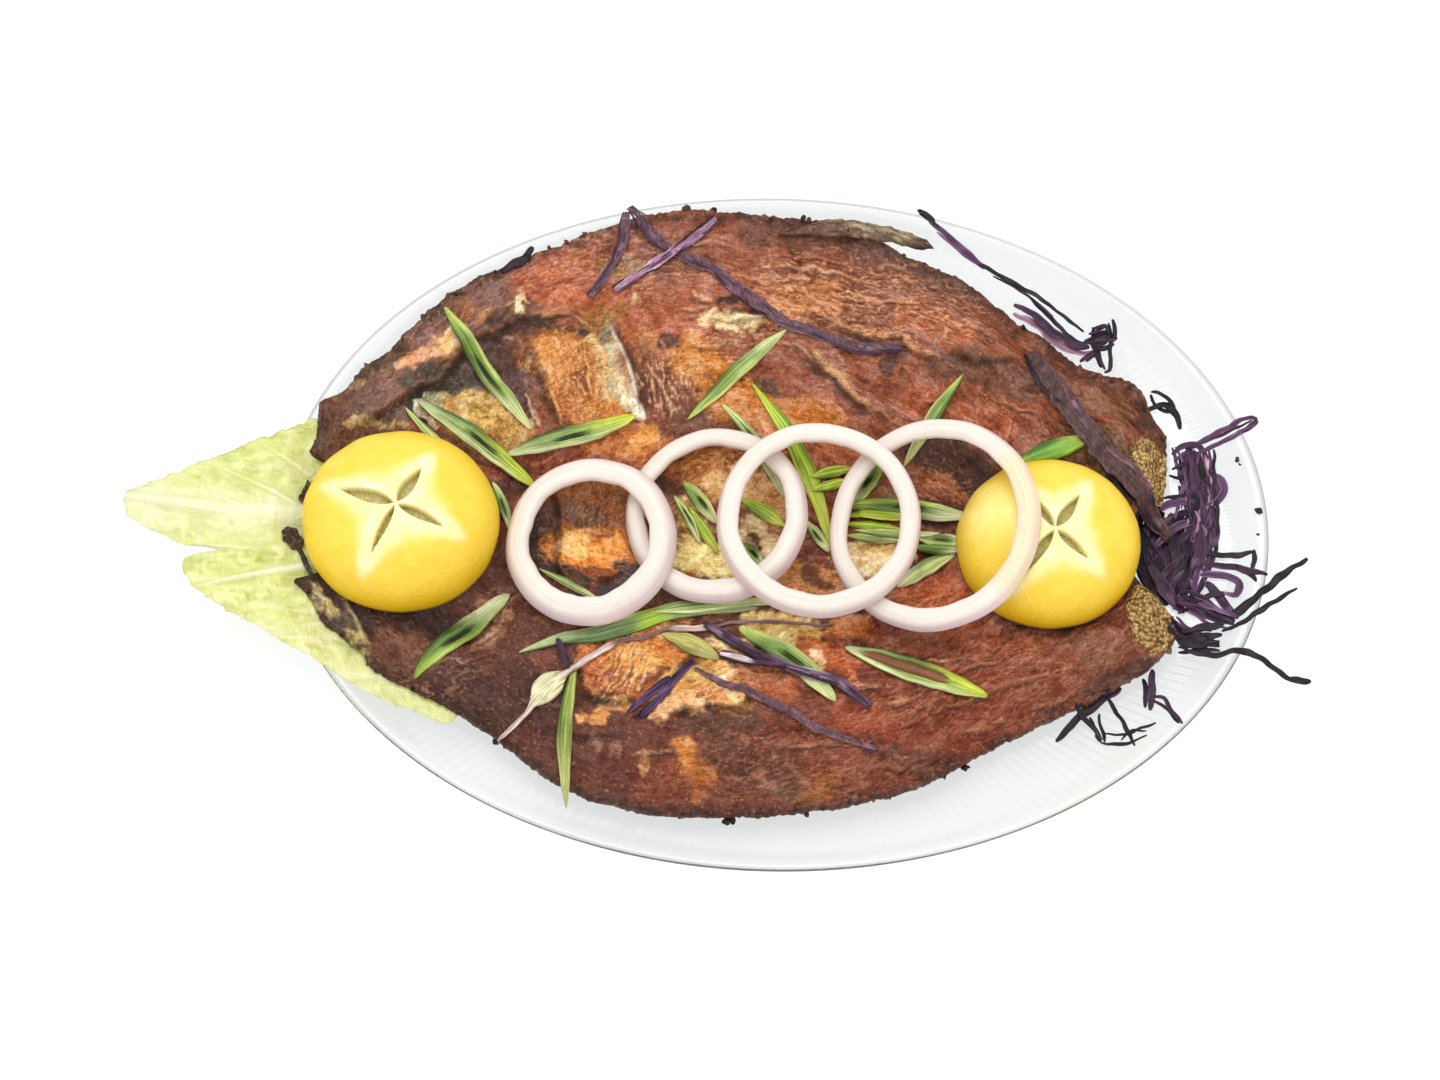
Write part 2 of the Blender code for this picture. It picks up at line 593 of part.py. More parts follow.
def lay_strip(path, width, thick, stations, sides, pile, sag):
    """Lay a strip along the pile: it spans dips, and past the rim it keeps its height."""
    points, faces = strip(path, width, thick, stations, sides)
    level = np.array([pile.top(x, y) for x, y in smooth(path, stations)])
    carried = np.flatnonzero(level)
    level[carried[-1] + 1:] = level[carried[-1]]
    level[:carried[0]] = level[carried[0]]
    level += GAP
    for _ in range(30):
        level[1:-1] = np.maximum(level[1:-1], (level[:-2] + level[2:]) / 2 - sag)
    groups = np.append(np.arange(stations * sides) // sides, [0, stations - 1])
    points[:, 2] += level[groups]
    return settle(points, faces, groups, pile), faces


def sliver(name, pile):
    """A long slanting slice of spring onion."""
    path, width = SLIVERS[name]
    length = np.linalg.norm(np.subtract(path[0], path[-1]))
    stations = 6 if length < 26 else 9
    points, faces = lay_strip(path, width, SLIVER_THICK, stations, 6, pile, sag=0.12)
    return make(f"spring_onion_{name}", points, faces, (0.25, 0.45, 0.1), 0.35, angle=60)


def shred(name, pile):
    """A shred of red cabbage, or a few that are fused where they cross."""
    pieces = []
    for number, (path, width) in enumerate(SHREDS[name]):
        reach = sum(np.linalg.norm(np.subtract(a, b)) for a, b in zip(path, path[1:]))
        stations = max(5, round(reach / 7) + 1)
        first_of_clump = number == 0 and len(SHREDS[name]) > 1
        thick = CLUMP_THICK if first_of_clump else SHRED_THICK
        points, faces = lay_strip(path, width, thick, stations, 4, pile, sag=0.35)
        pieces.append(make(f"{name}_{number}" if number else name, points, faces,
                           (0.16, 0.05, 0.14), 0.45, angle=60))
    return fuse(pieces[0], pieces[1:]) if len(pieces) > 1 else pieces[0]


# --- assembly ------------------------------------------------------------------------------------
LAID_ORDER = [
    (shred, ["cabbage_tangle", "cabbage_below_tail", "cabbage_star_a", "cabbage_star_long",
             "cabbage_star_b", "cabbage_chip", "cabbage_far_a", "cabbage_far_b", "cabbage_curl"]),
    (sliver, list(SLIVERS)),
    (shred, ["cabbage_pale", "cabbage_near_a", "cabbage_near_b", "cabbage_near_c",
             "cabbage_near_d", "cabbage_near_e", "cabbage_band"]),
    (lemon, list(LEMONS)),
    (onion_ring, list(RINGS)),
]


def main():
    """Clear the file and lay the whole dish, from the platter up."""
    for old in list(bpy.data.objects):
        bpy.data.objects.remove(old)
    pile = Pile()
    pile.add(plate())
    pile.add(lettuce(pile))
    pile.add(fish(pile))
    for build, names in LAID_ORDER:
        for name in names:
            pile.add(build(name, pile))


main()
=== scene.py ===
"""The looks of a fried milkfish on an oval glass platter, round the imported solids.

Sizes are in millimetres and become metres when a mesh is made. Every piece replaces the solid of
its name, keeps its place and is laid on what carries it, from the platter upwards.
"""
import math

import bmesh
import bpy
import numpy as np
from mathutils import Matrix, Vector
from mathutils.bvhtree import BVHTree


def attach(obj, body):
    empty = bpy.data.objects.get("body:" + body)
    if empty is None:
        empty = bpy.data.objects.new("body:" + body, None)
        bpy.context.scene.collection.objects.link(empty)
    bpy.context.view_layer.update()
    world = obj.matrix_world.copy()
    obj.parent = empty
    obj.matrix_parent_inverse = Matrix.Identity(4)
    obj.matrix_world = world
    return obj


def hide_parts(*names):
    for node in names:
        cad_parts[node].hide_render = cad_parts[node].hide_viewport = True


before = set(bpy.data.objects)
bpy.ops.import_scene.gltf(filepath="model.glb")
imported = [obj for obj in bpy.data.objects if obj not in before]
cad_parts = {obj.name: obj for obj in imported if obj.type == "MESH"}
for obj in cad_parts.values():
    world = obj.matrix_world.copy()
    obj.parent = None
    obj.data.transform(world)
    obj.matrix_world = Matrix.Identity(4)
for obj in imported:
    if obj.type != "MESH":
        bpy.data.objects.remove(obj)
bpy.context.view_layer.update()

MM = 0.001
GAP = 0.15                  # clear space left under a piece

# --- shapes, as in the solids ---------------------------------------------------------------------
PLATE_HALF_LENGTH = 160.0
PLATE_HALF_WIDTH = 113.4
PLATE_RIM = 22.0
PLATE_WELL = 3.6
PLATE_WALL = 3.0
WELL_SHARE = 0.54
FOOT_SHARE = 0.56
SLOPE_POWER = 1.5

FISH_UPPER = [
    (105, -6), (115, 2), (126, 9), (128, 20), (127, 34), (117, 48), (99, 58), (80, 72), (60, 86),
    (40, 95), (19, 101), (-5, 106), (-33, 107), (-59, 100), (-82, 90), (-100, 81), (-111, 70),
    (-124, 59), (-137, 46), (-149, 34), (-150, 20), (-144, 15), (-139, 1), (-136, -10),
]
FISH_LOWER = [
    (-136, -10), (-140, -24), (-152, -23), (-138, -40), (-123, -54), (-108, -62), (-92, -71),
    (-76, -83), (-62, -91), (-38, -97), (-11, -97), (18, -94), (45, -87), (66, -76), (89, -63),
    (106, -54), (120, -45), (128, -38), (128, -28), (119, -16), (105, -6),
]
FISH_SPINE = 88.0
FISH_EDGE = 5.0
FISH_THICK = 15.0
FISH_RIDGES = [
    ((-60, 62), (60, 56), 24, 4.5), ((-40, -66), (70, -52), 22, 4.5), ((-70, 4), (60, -4), 22, -4.0),
    ((-141, 30), (-84, 76), 8, 4.0), ((-84, 76), (-72, 28), 8, 3.0), ((-112, 44), (-92, 50), 9, -7.0),
    ((-100, 32), (-88, 34), 8, 3.0), ((-52, 62), (-46, 38), 5, 3.5), ((-146, -26), (-104, -52), 7, 3.0),
    ((-104, -52), (-78, -34), 8, 3.0), ((-108, -34), (-92, -40), 8, -4.0),
    ((-58, -6), (-52, -12), 12, -3.0), ((-24, -62), (-14, -64), 8, 3.0), ((20, 70), (84, 46), 3, -1.6),
    ((0, 84), (60, 70), 3, -1.4), ((-10, -82), (80, -58), 3, -1.5), ((112, 40), (124, 16), 6, 2.0),
    ((120, -26), (122, -38), 6, 2.0),
]
FIN_PATH = [(0, 101), (18, 103), (34, 101.5), (51, 97)]
FIN_WIDTH = 7.0
FIN_THICK = 3.2

LEAF_UPPER = [
    (-92, -12), (-98, 12), (-118, 32), (-136, 36), (-150, 32), (-175, 20.5), (-200, 8.6), (-208, 5),
    (-209.4, 4), (-209.2, 0), (-208, -3.4), (-207, -4.4), (-202, -7.4), (-197, -9.4), (-190, -12.6),
    (-184, -12.6), (-178, -14),
]
LEAF_LOWER = [
    (-178, -14), (-189, -17), (-188, -23), (-182, -29), (-164, -39), (-144, -50), (-128, -59),
    (-112, -64.5), (-101, -66), (-94, -40), (-92, -12),
]
LEAF_MIDDLE = (-140, -14)
LEAF_SPINE = 26.0
LEAF_WAVE = 1.3

# A lemon's middle, radius and height, and its slits: direction in degrees, length, width.
LEMONS = {
    "lemon_left": ((-120.2, -4.1), 30.2, 24.5,
                   ((163, 18, 4.6), (61, 14, 4.2), (-24, 16, 3.4), (-114, 18, 2.6))),
    "lemon_right": ((88.4, -5.7), 28.4, 21.5,
                    ((57, 14, 3.8), (121, 12, 2.8), (-43, 14, 3.2), (-124, 18, 3.6))),
}
LEMON_SQUARE = 2.35         # above 2 the top is flatter and the side steeper than a ball's
LEMON_OVAL = (1.045, 0.978) # the lemons are a little longer than they are wide
LEMON_HIGHLIGHTS = {"lemon_right": ((-18, 7), 9.0, 0.7)}     # a painted highlight: middle, size, strength
SLIT_DEPTH = 4.5
SLIT_START = 0.7            # from the lemon's middle
SLIT_SKEW = 0.74            # below 1 a slit is widest nearer the lemon's middle

RINGS = {                   # middle, half length, half width, wall, flare, height
    "onion_ring_2": ((-18.7, 1.4), 29.7, 29.8, 4.2, 2.6, 7.0),
    "onion_ring_4": ((51.3, -2.8), 34.9, 35.2, 4.6, 2.2, 6.5),
    "onion_ring_1": ((-58.8, -9.1), 27.7, 28.2, 4.8, 3.6, 8.0),
    "onion_ring_3": ((13.8, -2.4), 32.6, 32.2, 4.8, 2.0, 7.5),
}

SLIVERS = {                 # path, width, form, greens (see GREENS)
    "upper_left": ([(-110, 71), (-96, 50), (-80, 30)], 5.2, "open", "fresh"),
    "by_collar": ([(-88, 22), (-67, 28), (-46, 35)], 6.4, "open", "lime_end"),
    "above_lemon": ([(-117, 38), (-98, 26), (-78, 12)], 5.8, "open", "lime_end"),
    "head": ([(-121, 35), (-112, 26), (-104, 19)], 2.6, "round", "pale"),
    "far_middle": ([(-29, 35), (-13, 51), (3, 66)], 4.8, "round", "fresh"),
    "long_middle": ([(-8, 47), (4, 31), (14, 10), (18.5, -7)], 5.4, "round", "lime"),
    "inner_left": ([(-18, 40), (-8, 29.5), (3.5, 10)], 3.8, "open", "pale"),
    "far_right": ([(61, 51), (52, 38), (42, 21)], 4.2, "round", "fresh"),
    "crossing": ([(35, 22), (30, 15), (25, 8)], 5.2, "open", "dark"),
    "by_right_lemon": ([(79, 22.5), (91, 27), (103, 30.5)], 6.4, "round", "bright"),
    "lime_a": ([(-30, 15), (-25, 9), (-19, 1)], 4.6, "open", "fresh"),
    "lime_b": ([(-28, 6.5), (-23, -1.5), (-18, -9.5)], 3.6, "round", "lime"),
    "ring_a": ([(-11, 9), (-4, 5.5), (3.5, 0.5)], 4.8, "round", "lime"),
    "ring_b": ([(-10.5, -5), (-6.5, -9.5), (-3.5, -13.5)], 3.6, "open", "dark"),
    "ring_c": ([(11.5, 16.5), (18, 18.5), (25.5, 20)], 3.6, "round", "lime"),
    "dark_long": ([(23, 7.5), (42, 7), (64, 4)], 6.0, "open", "dark"),
    "middle_a": ([(23, 2), (32, 1.4), (42, 0)], 3.4, "round", "lime"),
    "middle_b": ([(22.5, -2), (32, -3), (42, -3.6)], 2.8, "round", "pale"),
    "middle_c": ([(46, -2), (54, -3.6), (63, -4.8)], 4.4, "open", "pale"),
    "middle_d": ([(59, -8), (50, -12.5), (40, -19.5)], 5.0, "round", "pale"),
    "near_left": ([(-114, -54), (-100, -40), (-85, -25)], 6.6, "open", "dark"),
    "beside_lemon": ([(-92, 12), (-88, 4), (-85, -5)], 3.0, "open", "pale"),
    "thin": ([(-76, -16), (-66, -21), (-56, -26)], 2.4, "round", "pale"),
    "near_long": ([(-81, -45), (-69, -40), (-57, -38), (-42, -33), (-28, -29), (-5, -28)], 5.6,
                  "round", "lime_middle"),
    "near_middle": ([(-11, -35), (8, -47), (20, -59)], 6.6, "open", "fresh"),
    "olive": ([(-36, -37.5), (-26, -41), (-17, -45.5)], 5.6, "round", "olive"),
    "near_upright": ([(-63, -46), (-65.5, -71), (-64.5, -94)], 4.3, "round", "straw"),
    "near_right": ([(23, -41), (45, -49), (68, -57)], 7.0, "open", "lime_end"),
}
# Further slices, each with the one above that it lies with, and then as above.
SLIVER_TWINS = {
    "ring_c_near": ("ring_c", ([(12, 12), (18, 14), (24, 16)], 3.4, "round", "lime")),
    "long_end": ("long_middle", ([(9.5, 3), (13.5, -2), (18, -8)], 3.4, "open", "pale")),
    "lime_c": ("lime_a", ([(-33, 10), (-28, 2), (-24, -6)], 2.6, "open", "pale")),
    "middle_e": ("dark_long", ([(22, 4.6), (33, 4.4), (46, 3.4)], 3.0, "round", "lime")),
    "middle_f": ("middle_a", ([(26, -0.4), (38, -1.6), (54, -1.4)], 2.8, "round", "pale")),
    "middle_g": ("middle_c", ([(44, -5.2), (53, -7), (62, -7.4)], 3.2, "round", "dark")),
    "long_second": ("near_long", ([(-40, -31), (-24, -29), (-6, -26), (8, -26)], 3.0, "round", "pale")),
}
SLIVER_THICK = 1.8

SHREDS = {                  # path, width, look (see PURPLES); a node holds one shred or a knot of them
    "cabbage_tangle": [
        ([(138, 28), (139, 18), (139.5, 8), (138, -3), (135, -13), (131, -22)], 11.0, "deep"),
        ([(132, 8), (132, 0), (131, -9), (130, -18)], 10.0, "black"),
        ([(126, 9), (125, 1), (126, -8), (128, -17)], 8.0, "black"),
        ([(128, -30), (133, -34), (140, -36)], 6.0, "black"),
        ([(130, -22), (137, -24), (143, -28), (148, -30)], 6.0, "deep"),
        ([(131, 25), (139, 31), (148, 35.5), (155, 39), (157, 37.5), (151, 33), (143, 29.5), (137, 27)],
          1.9, "violet"),
        ([(130, 27), (134, 30), (139, 30), (142, 25)], 2.2, "deep"),
        ([(130, 22), (134, 24), (136, 21), (133, 19), (129, 20)], 1.6, "black"),
        ([(140, 20.5), (145, 19), (146.5, 15), (144, 11), (141, 10)], 2.8, "violet"),
        ([(141, 17), (144.2, 15.6), (142.5, 12)], 4.4, "deep"),
        ([(119, -7), (121.5, -13), (124.5, -18), (128, -23)], 4.6, "black"),
        ([(117.5, -4), (120, -11), (123.5, -18), (126.5, -23)], 3.2, "black"),
        ([(122, -10), (126, -17), (130, -23), (133, -26)], 4.2, "deep"),
        ([(142, 11), (144, 4), (143, -3), (140, -6)], 2.4, "deep"),
        ([(136, 29), (137, 18), (139, 8), (139, -2), (136, -11), (133, -20)], 3.0, "deep"),
        ([(139, 28), (140, 18), (142, 8), (141, -2), (138, -10), (136, -18)], 2.8, "violet"),
        ([(134, 26), (135, 14), (136, 4), (135, -6), (131, -16)], 2.6, "deep"),
        ([(141, 27), (142, 20), (142, 12), (140, 3)], 1.8, "pink"),
        ([(127, 12), (133, 13), (140, 12)], 1.5, "black"),
        ([(126, 8), (131, 11), (138, 11)], 2.6, "violet"),
        ([(125, 2), (131, 7), (139, 8)], 2.8, "deep"),
        ([(124, -4), (130, 2), (138, 5)], 2.8, "violet"),
        ([(123, -10), (129, -4), (137, 2)], 2.8, "deep"),
        ([(124, -16), (130, -10), (138, -3)], 2.8, "deep"),
        ([(127, -21), (132, -14), (139, -7)], 2.6, "violet"),
        ([(118, 6), (122, -1), (126, -8), (130, -16)], 3.2, "black"),
        ([(121, 4), (126, -4), (131, -12), (134, -19)], 3.0, "deep"),
        ([(119, -1), (121, -8), (122, -14)], 3.2, "black"),
        ([(138, -6), (143, -7), (149, -7.5), (155, -7)], 2.2, "black"),
        ([(138, -10), (146, -11), (153, -13), (159, -14.5)], 2.4, "deep"),
        ([(149, -11), (153, -14), (155, -17)], 1.7, "black"),
        ([(155, -6), (155, -9.5), (154, -13)], 1.7, "black"),
        ([(138, -14), (145, -14), (150, -17), (149, -21), (145, -20)], 2.6, "violet"),
        ([(140, -16), (143, -20), (146, -25), (149, -29)], 3.2, "deep"),
        ([(131, -21), (136, -22.5), (141, -21), (146, -20)], 2.3, "black"),
        ([(131, -26), (134, -24.5), (139, -22)], 1.6, "black"),
        ([(131, -33), (136, -32), (142, -31), (148, -27.5), (155, -22), (163, -15), (172, -9)], 2.8,
          "black"),
        ([(144, -33), (151, -30), (160, -24), (168, -19)], 1.8, "black"),
        ([(130, -37), (137, -37), (143, -37)], 5.6, "black"),
        ([(132, -34), (138, -35), (144, -34)], 2.4, "black"),
        ([(137, 30), (145, 32.6), (152, 36), (156, 38.6)], 1.1, "deep"),
        ([(139, 27.5), (147, 30.6), (154, 34.6), (157, 36.6)], 1.0, "violet"),
        ([(118.5, 4), (119.5, -4), (121, -11)], 2.4, "black"),
        ([(120, 0), (122, -8), (125, -16)], 2.0, "black"),
        ([(131, -39), (136, -41), (143, -41), (150, -40), (157, -43), (164, -48.5), (171, -49.5)], 2.1,
          "black"),
        ([(164, -48.5), (168, -49), (171.5, -49.5)], 2.3, "black"),
    ],
    "cabbage_below_tail": [
        ([(122, -45), (121.5, -51), (120.5, -59)], 2.6, "deep"),
        ([(119, -48), (119.5, -53), (119, -58)], 1.8, "black"),
        ([(121, -54), (125, -55), (127, -60), (130, -64)], 1.6, "deep"),
        ([(121, -55), (125, -58), (129, -64)], 1.2, "black"),
        ([(108, -52), (103, -57), (98, -61), (91, -69)], 2.6, "black"),
        ([(112, -51), (106, -55), (100, -60), (97, -62)], 2.8, "deep"),
        ([(97, -57), (99, -61), (103, -65), (105, -69)], 1.8, "black"),
        ([(101.5, -61), (103, -65), (104.5, -69)], 1.3, "black"),
        ([(104.5, -60), (105, -65), (106, -69.5)], 1.3, "black"),
        ([(103, -67), (106, -70), (110, -70.5), (116, -69), (119, -67.5)], 1.0, "black"),
        ([(106, -66.5), (112, -67), (118, -65), (122, -63.5)], 1.0, "black"),
        ([(107, -54), (110, -59), (112, -63), (115, -71)], 1.6, "black"),
        ([(111, -69), (114, -66), (119, -66)], 0.9, "black"),
    ],
    "cabbage_star_a": [([(-51, 107), (-52, 96), (-56, 85), (-62, 74)], 3.4, "dusk")],
    "cabbage_star_long": [
        ([(-50, 109), (-42, 98), (-34, 92), (-22, 86), (-15, 80), (-5, 73), (5, 67), (14, 64), (26, 60),
          (41, 60)], 4.0, "dusk"),
    ],
    "cabbage_star_b": [([(-21, 105), (-28, 98), (-35, 92), (-45, 84), (-54, 77)], 3.2, "pink")],
    "cabbage_chip": [([(-92, 84), (-88, 87), (-84, 89), (-82, 94)], 2.8, "black")],
    "cabbage_far_a": [
        ([(46.5, 110), (49, 108), (52, 105.4)], 2.3, "black"),
        ([(47, 108.5), (55, 102), (63, 95), (75, 88), (88, 80.5), (102, 69.5)], 1.6, "black"),
        ([(50, 106), (56, 101), (62, 96.5), (69, 91)], 2.8, "violet"),
        ([(53, 102.5), (58, 98.5), (64, 94)], 1.0, "pink"),
        ([(72, 88.5), (82, 83), (92, 75)], 1.0, "deep"),
    ],
    "cabbage_far_b": [
        ([(104, 66), (108, 67), (111, 68)], 6.0, "black"),
        ([(79, 79), (85, 76), (92, 70), (99, 65), (104, 65)], 3.0, "deep"),
        ([(79, 76.5), (86, 73), (93, 67), (100, 63), (105, 63)], 3.0, "pink"),
        ([(84, 81), (92, 74), (98, 68), (102, 66)], 1.6, "black"),
        ([(102, 66), (106, 67), (110, 67), (113, 67)], 2.6, "deep"),
        ([(105, 71), (105.5, 66), (107, 62), (109, 57)], 1.8, "black"),
        ([(110, 72), (111, 68), (110.5, 62), (111, 57), (109, 56)], 1.5, "black"),
        ([(105, 70), (109, 71), (110, 68)], 1.5, "black"),
        ([(112, 66), (112, 70), (111, 73)], 1.6, "black"),
        ([(103, 60), (106, 62), (108, 58)], 1.6, "black"),
        ([(101, 60), (104, 62), (107, 64)], 1.8, "deep"),
    ],
    "cabbage_curl": [
        ([(124, 49), (127, 48), (131, 44), (129, 42), (125, 45), (123.5, 48)], 1.6, "black"),
        ([(121, 42), (128, 44), (132, 41), (133, 36)], 2.6, "black"),
    ],
    "cabbage_pale": [
        ([(-87, -73), (-79, -66), (-72, -57), (-64, -50), (-51, -41), (-42, -39), (-32, -36),
          (-20, -35), (-12, -33), (4, -33), (19, -34)], 2.6, "white"),
    ],
    "cabbage_near_a": [
        ([(-22, -34), (-12, -40), (-4, -45), (8, -50), (20, -53), (31, -61)], 3.4, "edged"),
    ],
    "cabbage_near_b": [
        ([(-25.5, -46.5), (-31, -53), (-36, -60), (-41.5, -66)], 2.2, "bright"),
        ([(-32.5, -52.5), (-39, -58), (-45.5, -64.5)], 2.0, "bright"),
        ([(-31.5, -54.5), (-37, -60), (-43.5, -66)], 1.3, "black"),
    ],
    "cabbage_near_c": [
        ([(-25, -49), (-16, -54), (-8, -57), (4, -62), (16, -69), (33, -74)], 2.8, "dusk"),
    ],
    "cabbage_near_d": [([(-17, -43.8), (-12, -45.3), (-6, -47.4), (4, -49)], 3.0, "patch")],
    "cabbage_near_e": [([(-69, -40), (-67, -45), (-65, -50)], 2.6, "deep")],
    "cabbage_band": [
        ([(84, 61), (90, 49), (98.5, 36.5), (106.5, 25.5), (115.5, 15), (123.5, 5), (128.5, -2)], 7.8,
          "band"),
    ],
}

# --- camera: the photograph's view ----------------------------------------------------------------
CAMERA_TARGET = (-17.635, -5.865, 20.0)
CAMERA_DISTANCE = 850.0
CAMERA_ELEVATION = 74.0
CAMERA_ROLL = 1.1
CAMERA_LENS = 65.657


# --- numbers --------------------------------------------------------------------------------------
def linear(red, green, blue):
    """A colour given in the photograph's 0-255 terms, as light."""
    share = np.array([red, green, blue], float) / 255
    return np.where(share <= 0.04045, share / 12.92, ((share + 0.055) / 1.055) ** 2.4)


def toward(colour, share, goal):
    """A colour moved part of the way to another, which is given in the photograph's terms."""
    return colour + np.asarray(share)[..., None] * (linear(*goal) - colour)


def ramp(value, low, high):
    """0 below low, 1 above high, and a smooth rise between them."""
    t = np.clip((value - low) / (high - low), 0, 1)
    return t * t * (3 - 2 * t)


def hashed(i, j, seed):
    """A repeatable number from 0 to 1 for each whole-number place."""
    n = (i * 374761393 + j * 668265263 + seed * 974634777) & 0xFFFFFFFF
    n = ((n ^ (n >> 13)) * 1274126177) & 0xFFFFFFFF
    return ((n ^ (n >> 16)) & 0xFFFFFF) / 0xFFFFFF


def noise(x, y, size, seed=0):
    """Smooth random relief from -1 to 1 with bumps of about the given size."""
    u = np.asarray(x, float) / size
    v = np.asarray(y, float) / size
    i = np.floor(u).astype(np.int64)
    j = np.floor(v).astype(np.int64)
    u, v = u - i, v - j
    fade_u = u**3 * (u * (u * 6 - 15) + 10)
    fade_v = v**3 * (v * (v * 6 - 15) + 10)

    def corner(a, b):
        turn = hashed(i + a, j + b, seed) * 2 * math.pi
        return np.cos(turn) * (u - a) + np.sin(turn) * (v - b)

    low = corner(0, 0) + fade_u * (corner(1, 0) - corner(0, 0))
    high = corner(0, 1) + fade_u * (corner(1, 1) - corner(0, 1))
    return 1.5 * (low + fade_v * (high - low))


def layered(x, y, size, seed=0, layers=3, fall=0.55):
    """Noise on top of finer noise."""
    total = 0
    for layer in range(layers):
        total = total + fall**layer * noise(x, y, size / 2**layer, seed + 17 * layer)
    return total


def wander(along, seed, size=1.0, offset=0.0):
    """Noise along a line."""
    return noise(along, 0 * along + offset, size, seed)


def smooth(points, count):
    """Equally spaced points along a smooth curve through the given ones."""
    knots = np.array(points, float)
    padded = np.vstack([2 * knots[0] - knots[1], knots, 2 * knots[-1] - knots[-2]])
    steps = np.linspace(0, 1, 12, endpoint=False)[:, None]
    fine = []
    for a, b, c, d in zip(padded, padded[1:], padded[2:], padded[3:]):
        slope_b = (c - a) / 2
        slope_c = (d - b) / 2
        fine.append((2 * steps**3 - 3 * steps**2 + 1) * b + (steps**3 - 2 * steps**2 + steps) * slope_b
                    + (3 * steps**2 - 2 * steps**3) * c + (steps**3 - steps**2) * slope_c)
    fine = np.vstack([*fine, knots[-1:]])
    length = np.concatenate([[0], np.cumsum(np.linalg.norm(np.diff(fine, axis=0), axis=1))])
    places = np.linspace(0, length[-1], count)
    return np.column_stack([np.interp(places, length, column) for column in fine.T])


def length_of(path, count):
    """Length of the smooth curve through a path, measured over some points of it."""
    return np.linalg.norm(np.diff(smooth(path, count), axis=0), axis=1).sum()


def heading(line):
    """Unit steps along a line and to its left, at each of its points."""
    run = np.gradient(line, axis=0)
    run /= np.linalg.norm(run, axis=1)[:, None]
    return run, np.column_stack([-run[:, 1], run[:, 0]])


def circle(count):
    """Equally spaced angles once round."""
    return np.arange(count) / count * 2 * math.pi


def turned(x, y, middle, direction):
    """Places seen from a middle: how far along a direction in degrees, and how far to its left."""
    turn = math.radians(direction)
    x, y = x - middle[0], y - middle[1]
    return x * math.cos(turn) + y * math.sin(turn), y * math.cos(turn) - x * math.sin(turn)


# --- meshes ---------------------------------------------------------------------------------------
def quads(rows, columns, wrap_rows=False, wrap_columns=True):
    """Faces of a grid of points that is stored row by row."""
    index = np.arange(rows * columns).reshape(rows, columns)
    if wrap_rows:
        index = np.vstack([index, index[:1]])
    if wrap_columns:
        index = np.hstack([index, index[:, :1]])
    a, b, c, d = index[:-1, :-1], index[:-1, 1:], index[1:, 1:], index[1:, :-1]
    return np.stack([a, b, c, d], axis=-1).reshape(-1, 4).tolist()


def close_ends(faces, rows, columns):
    """Add the two end faces of a grid that wraps round in its columns."""
    faces.append(list(range(columns)))
    faces.append(list(range((rows - 1) * columns, rows * columns))[::-1])
    return faces


def tubes(grids):
    """Closed tubes as one mesh, from the rows of points round each: the points and the faces."""
    points, faces = [], []
    start = 0
    for rows in grids:
        rows = np.asarray(rows)
        count, columns = rows.shape[:2]
        own = close_ends(quads(count, columns), count, columns)
        faces += [[corner + start for corner in face] for face in own]
        points.append(rows.reshape(-1, 3))
        start += count * columns
    return np.vstack(points), faces


def make(name, points, faces, material, slot, paint=None, grain=None, masks=None, normals=None):
    """A riding piece with its colours, the direction of its grain and its masks on its points.

    A closed piece finds its own outward side; an open one is given its normals."""
    mesh = bpy.data.meshes.new(name)
    mesh.from_pydata((np.asarray(points) * MM).tolist(), [], faces)
    if normals is None:
        body = bmesh.new()
        body.from_mesh(mesh)
        bmesh.ops.recalc_face_normals(body, faces=body.faces)
        body.to_mesh(mesh)
        body.free()
    mesh.shade_smooth()
    if normals is not None:
        mesh.normals_split_custom_set_from_vertices(normals.tolist())
    if paint is not None:
        colours = np.column_stack([paint, np.ones(len(paint))])
        mesh.color_attributes.new(name="paint", type="FLOAT_COLOR", domain="POINT")
        mesh.color_attributes["paint"].data.foreach_set("color", colours.ravel())
    if grain is not None:
        mesh.attributes.new("grain", "FLOAT_VECTOR", "POINT")
        mesh.attributes["grain"].data.foreach_set("vector", np.asarray(grain, float).ravel())
    for mask, values in (masks or {}).items():
        mesh.attributes.new(mask, "FLOAT", "POINT")
        mesh.attributes[mask].data.foreach_set("value", np.asarray(values, float))
    mesh.materials.append(material)
    piece = bpy.data.objects.new(name, mesh)
    bpy.context.collection.objects.link(piece)
    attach(piece, "root")
    return piece


class Pile:
    """The pieces laid so far, read from above."""

    def __init__(self):
        self.layers = []

    def add(self, piece):
        """Put a finished piece on the pile."""
        mesh = piece.data
        mesh.calc_loop_triangles()
        corners = np.empty(len(mesh.vertices) * 3)
        mesh.vertices.foreach_get("co", corners)
        corners = corners.reshape(-1, 3) / MM
        faces = np.empty(len(mesh.loop_triangles) * 3, np.int32)
        mesh.loop_triangles.foreach_get("vertices", faces)
        tree = BVHTree.FromPolygons(corners.tolist(), faces.reshape(-1, 3).tolist())
        self.layers.append((corners[:, :2].min(axis=0), corners[:, :2].max(axis=0), tree))
        return piece

    def top(self, x, y):
        """Height of the pile at a place, 0 where it is empty."""
        best = 0.0
        for low, high, tree in self.layers:
            if low[0] <= x <= high[0] and low[1] <= y <= high[1]:
                hit = tree.ray_cast(Vector((x, y, 300)), Vector((0, 0, -1)))[0]
                if hit is not None:
                    best = max(best, hit.z)
        return best


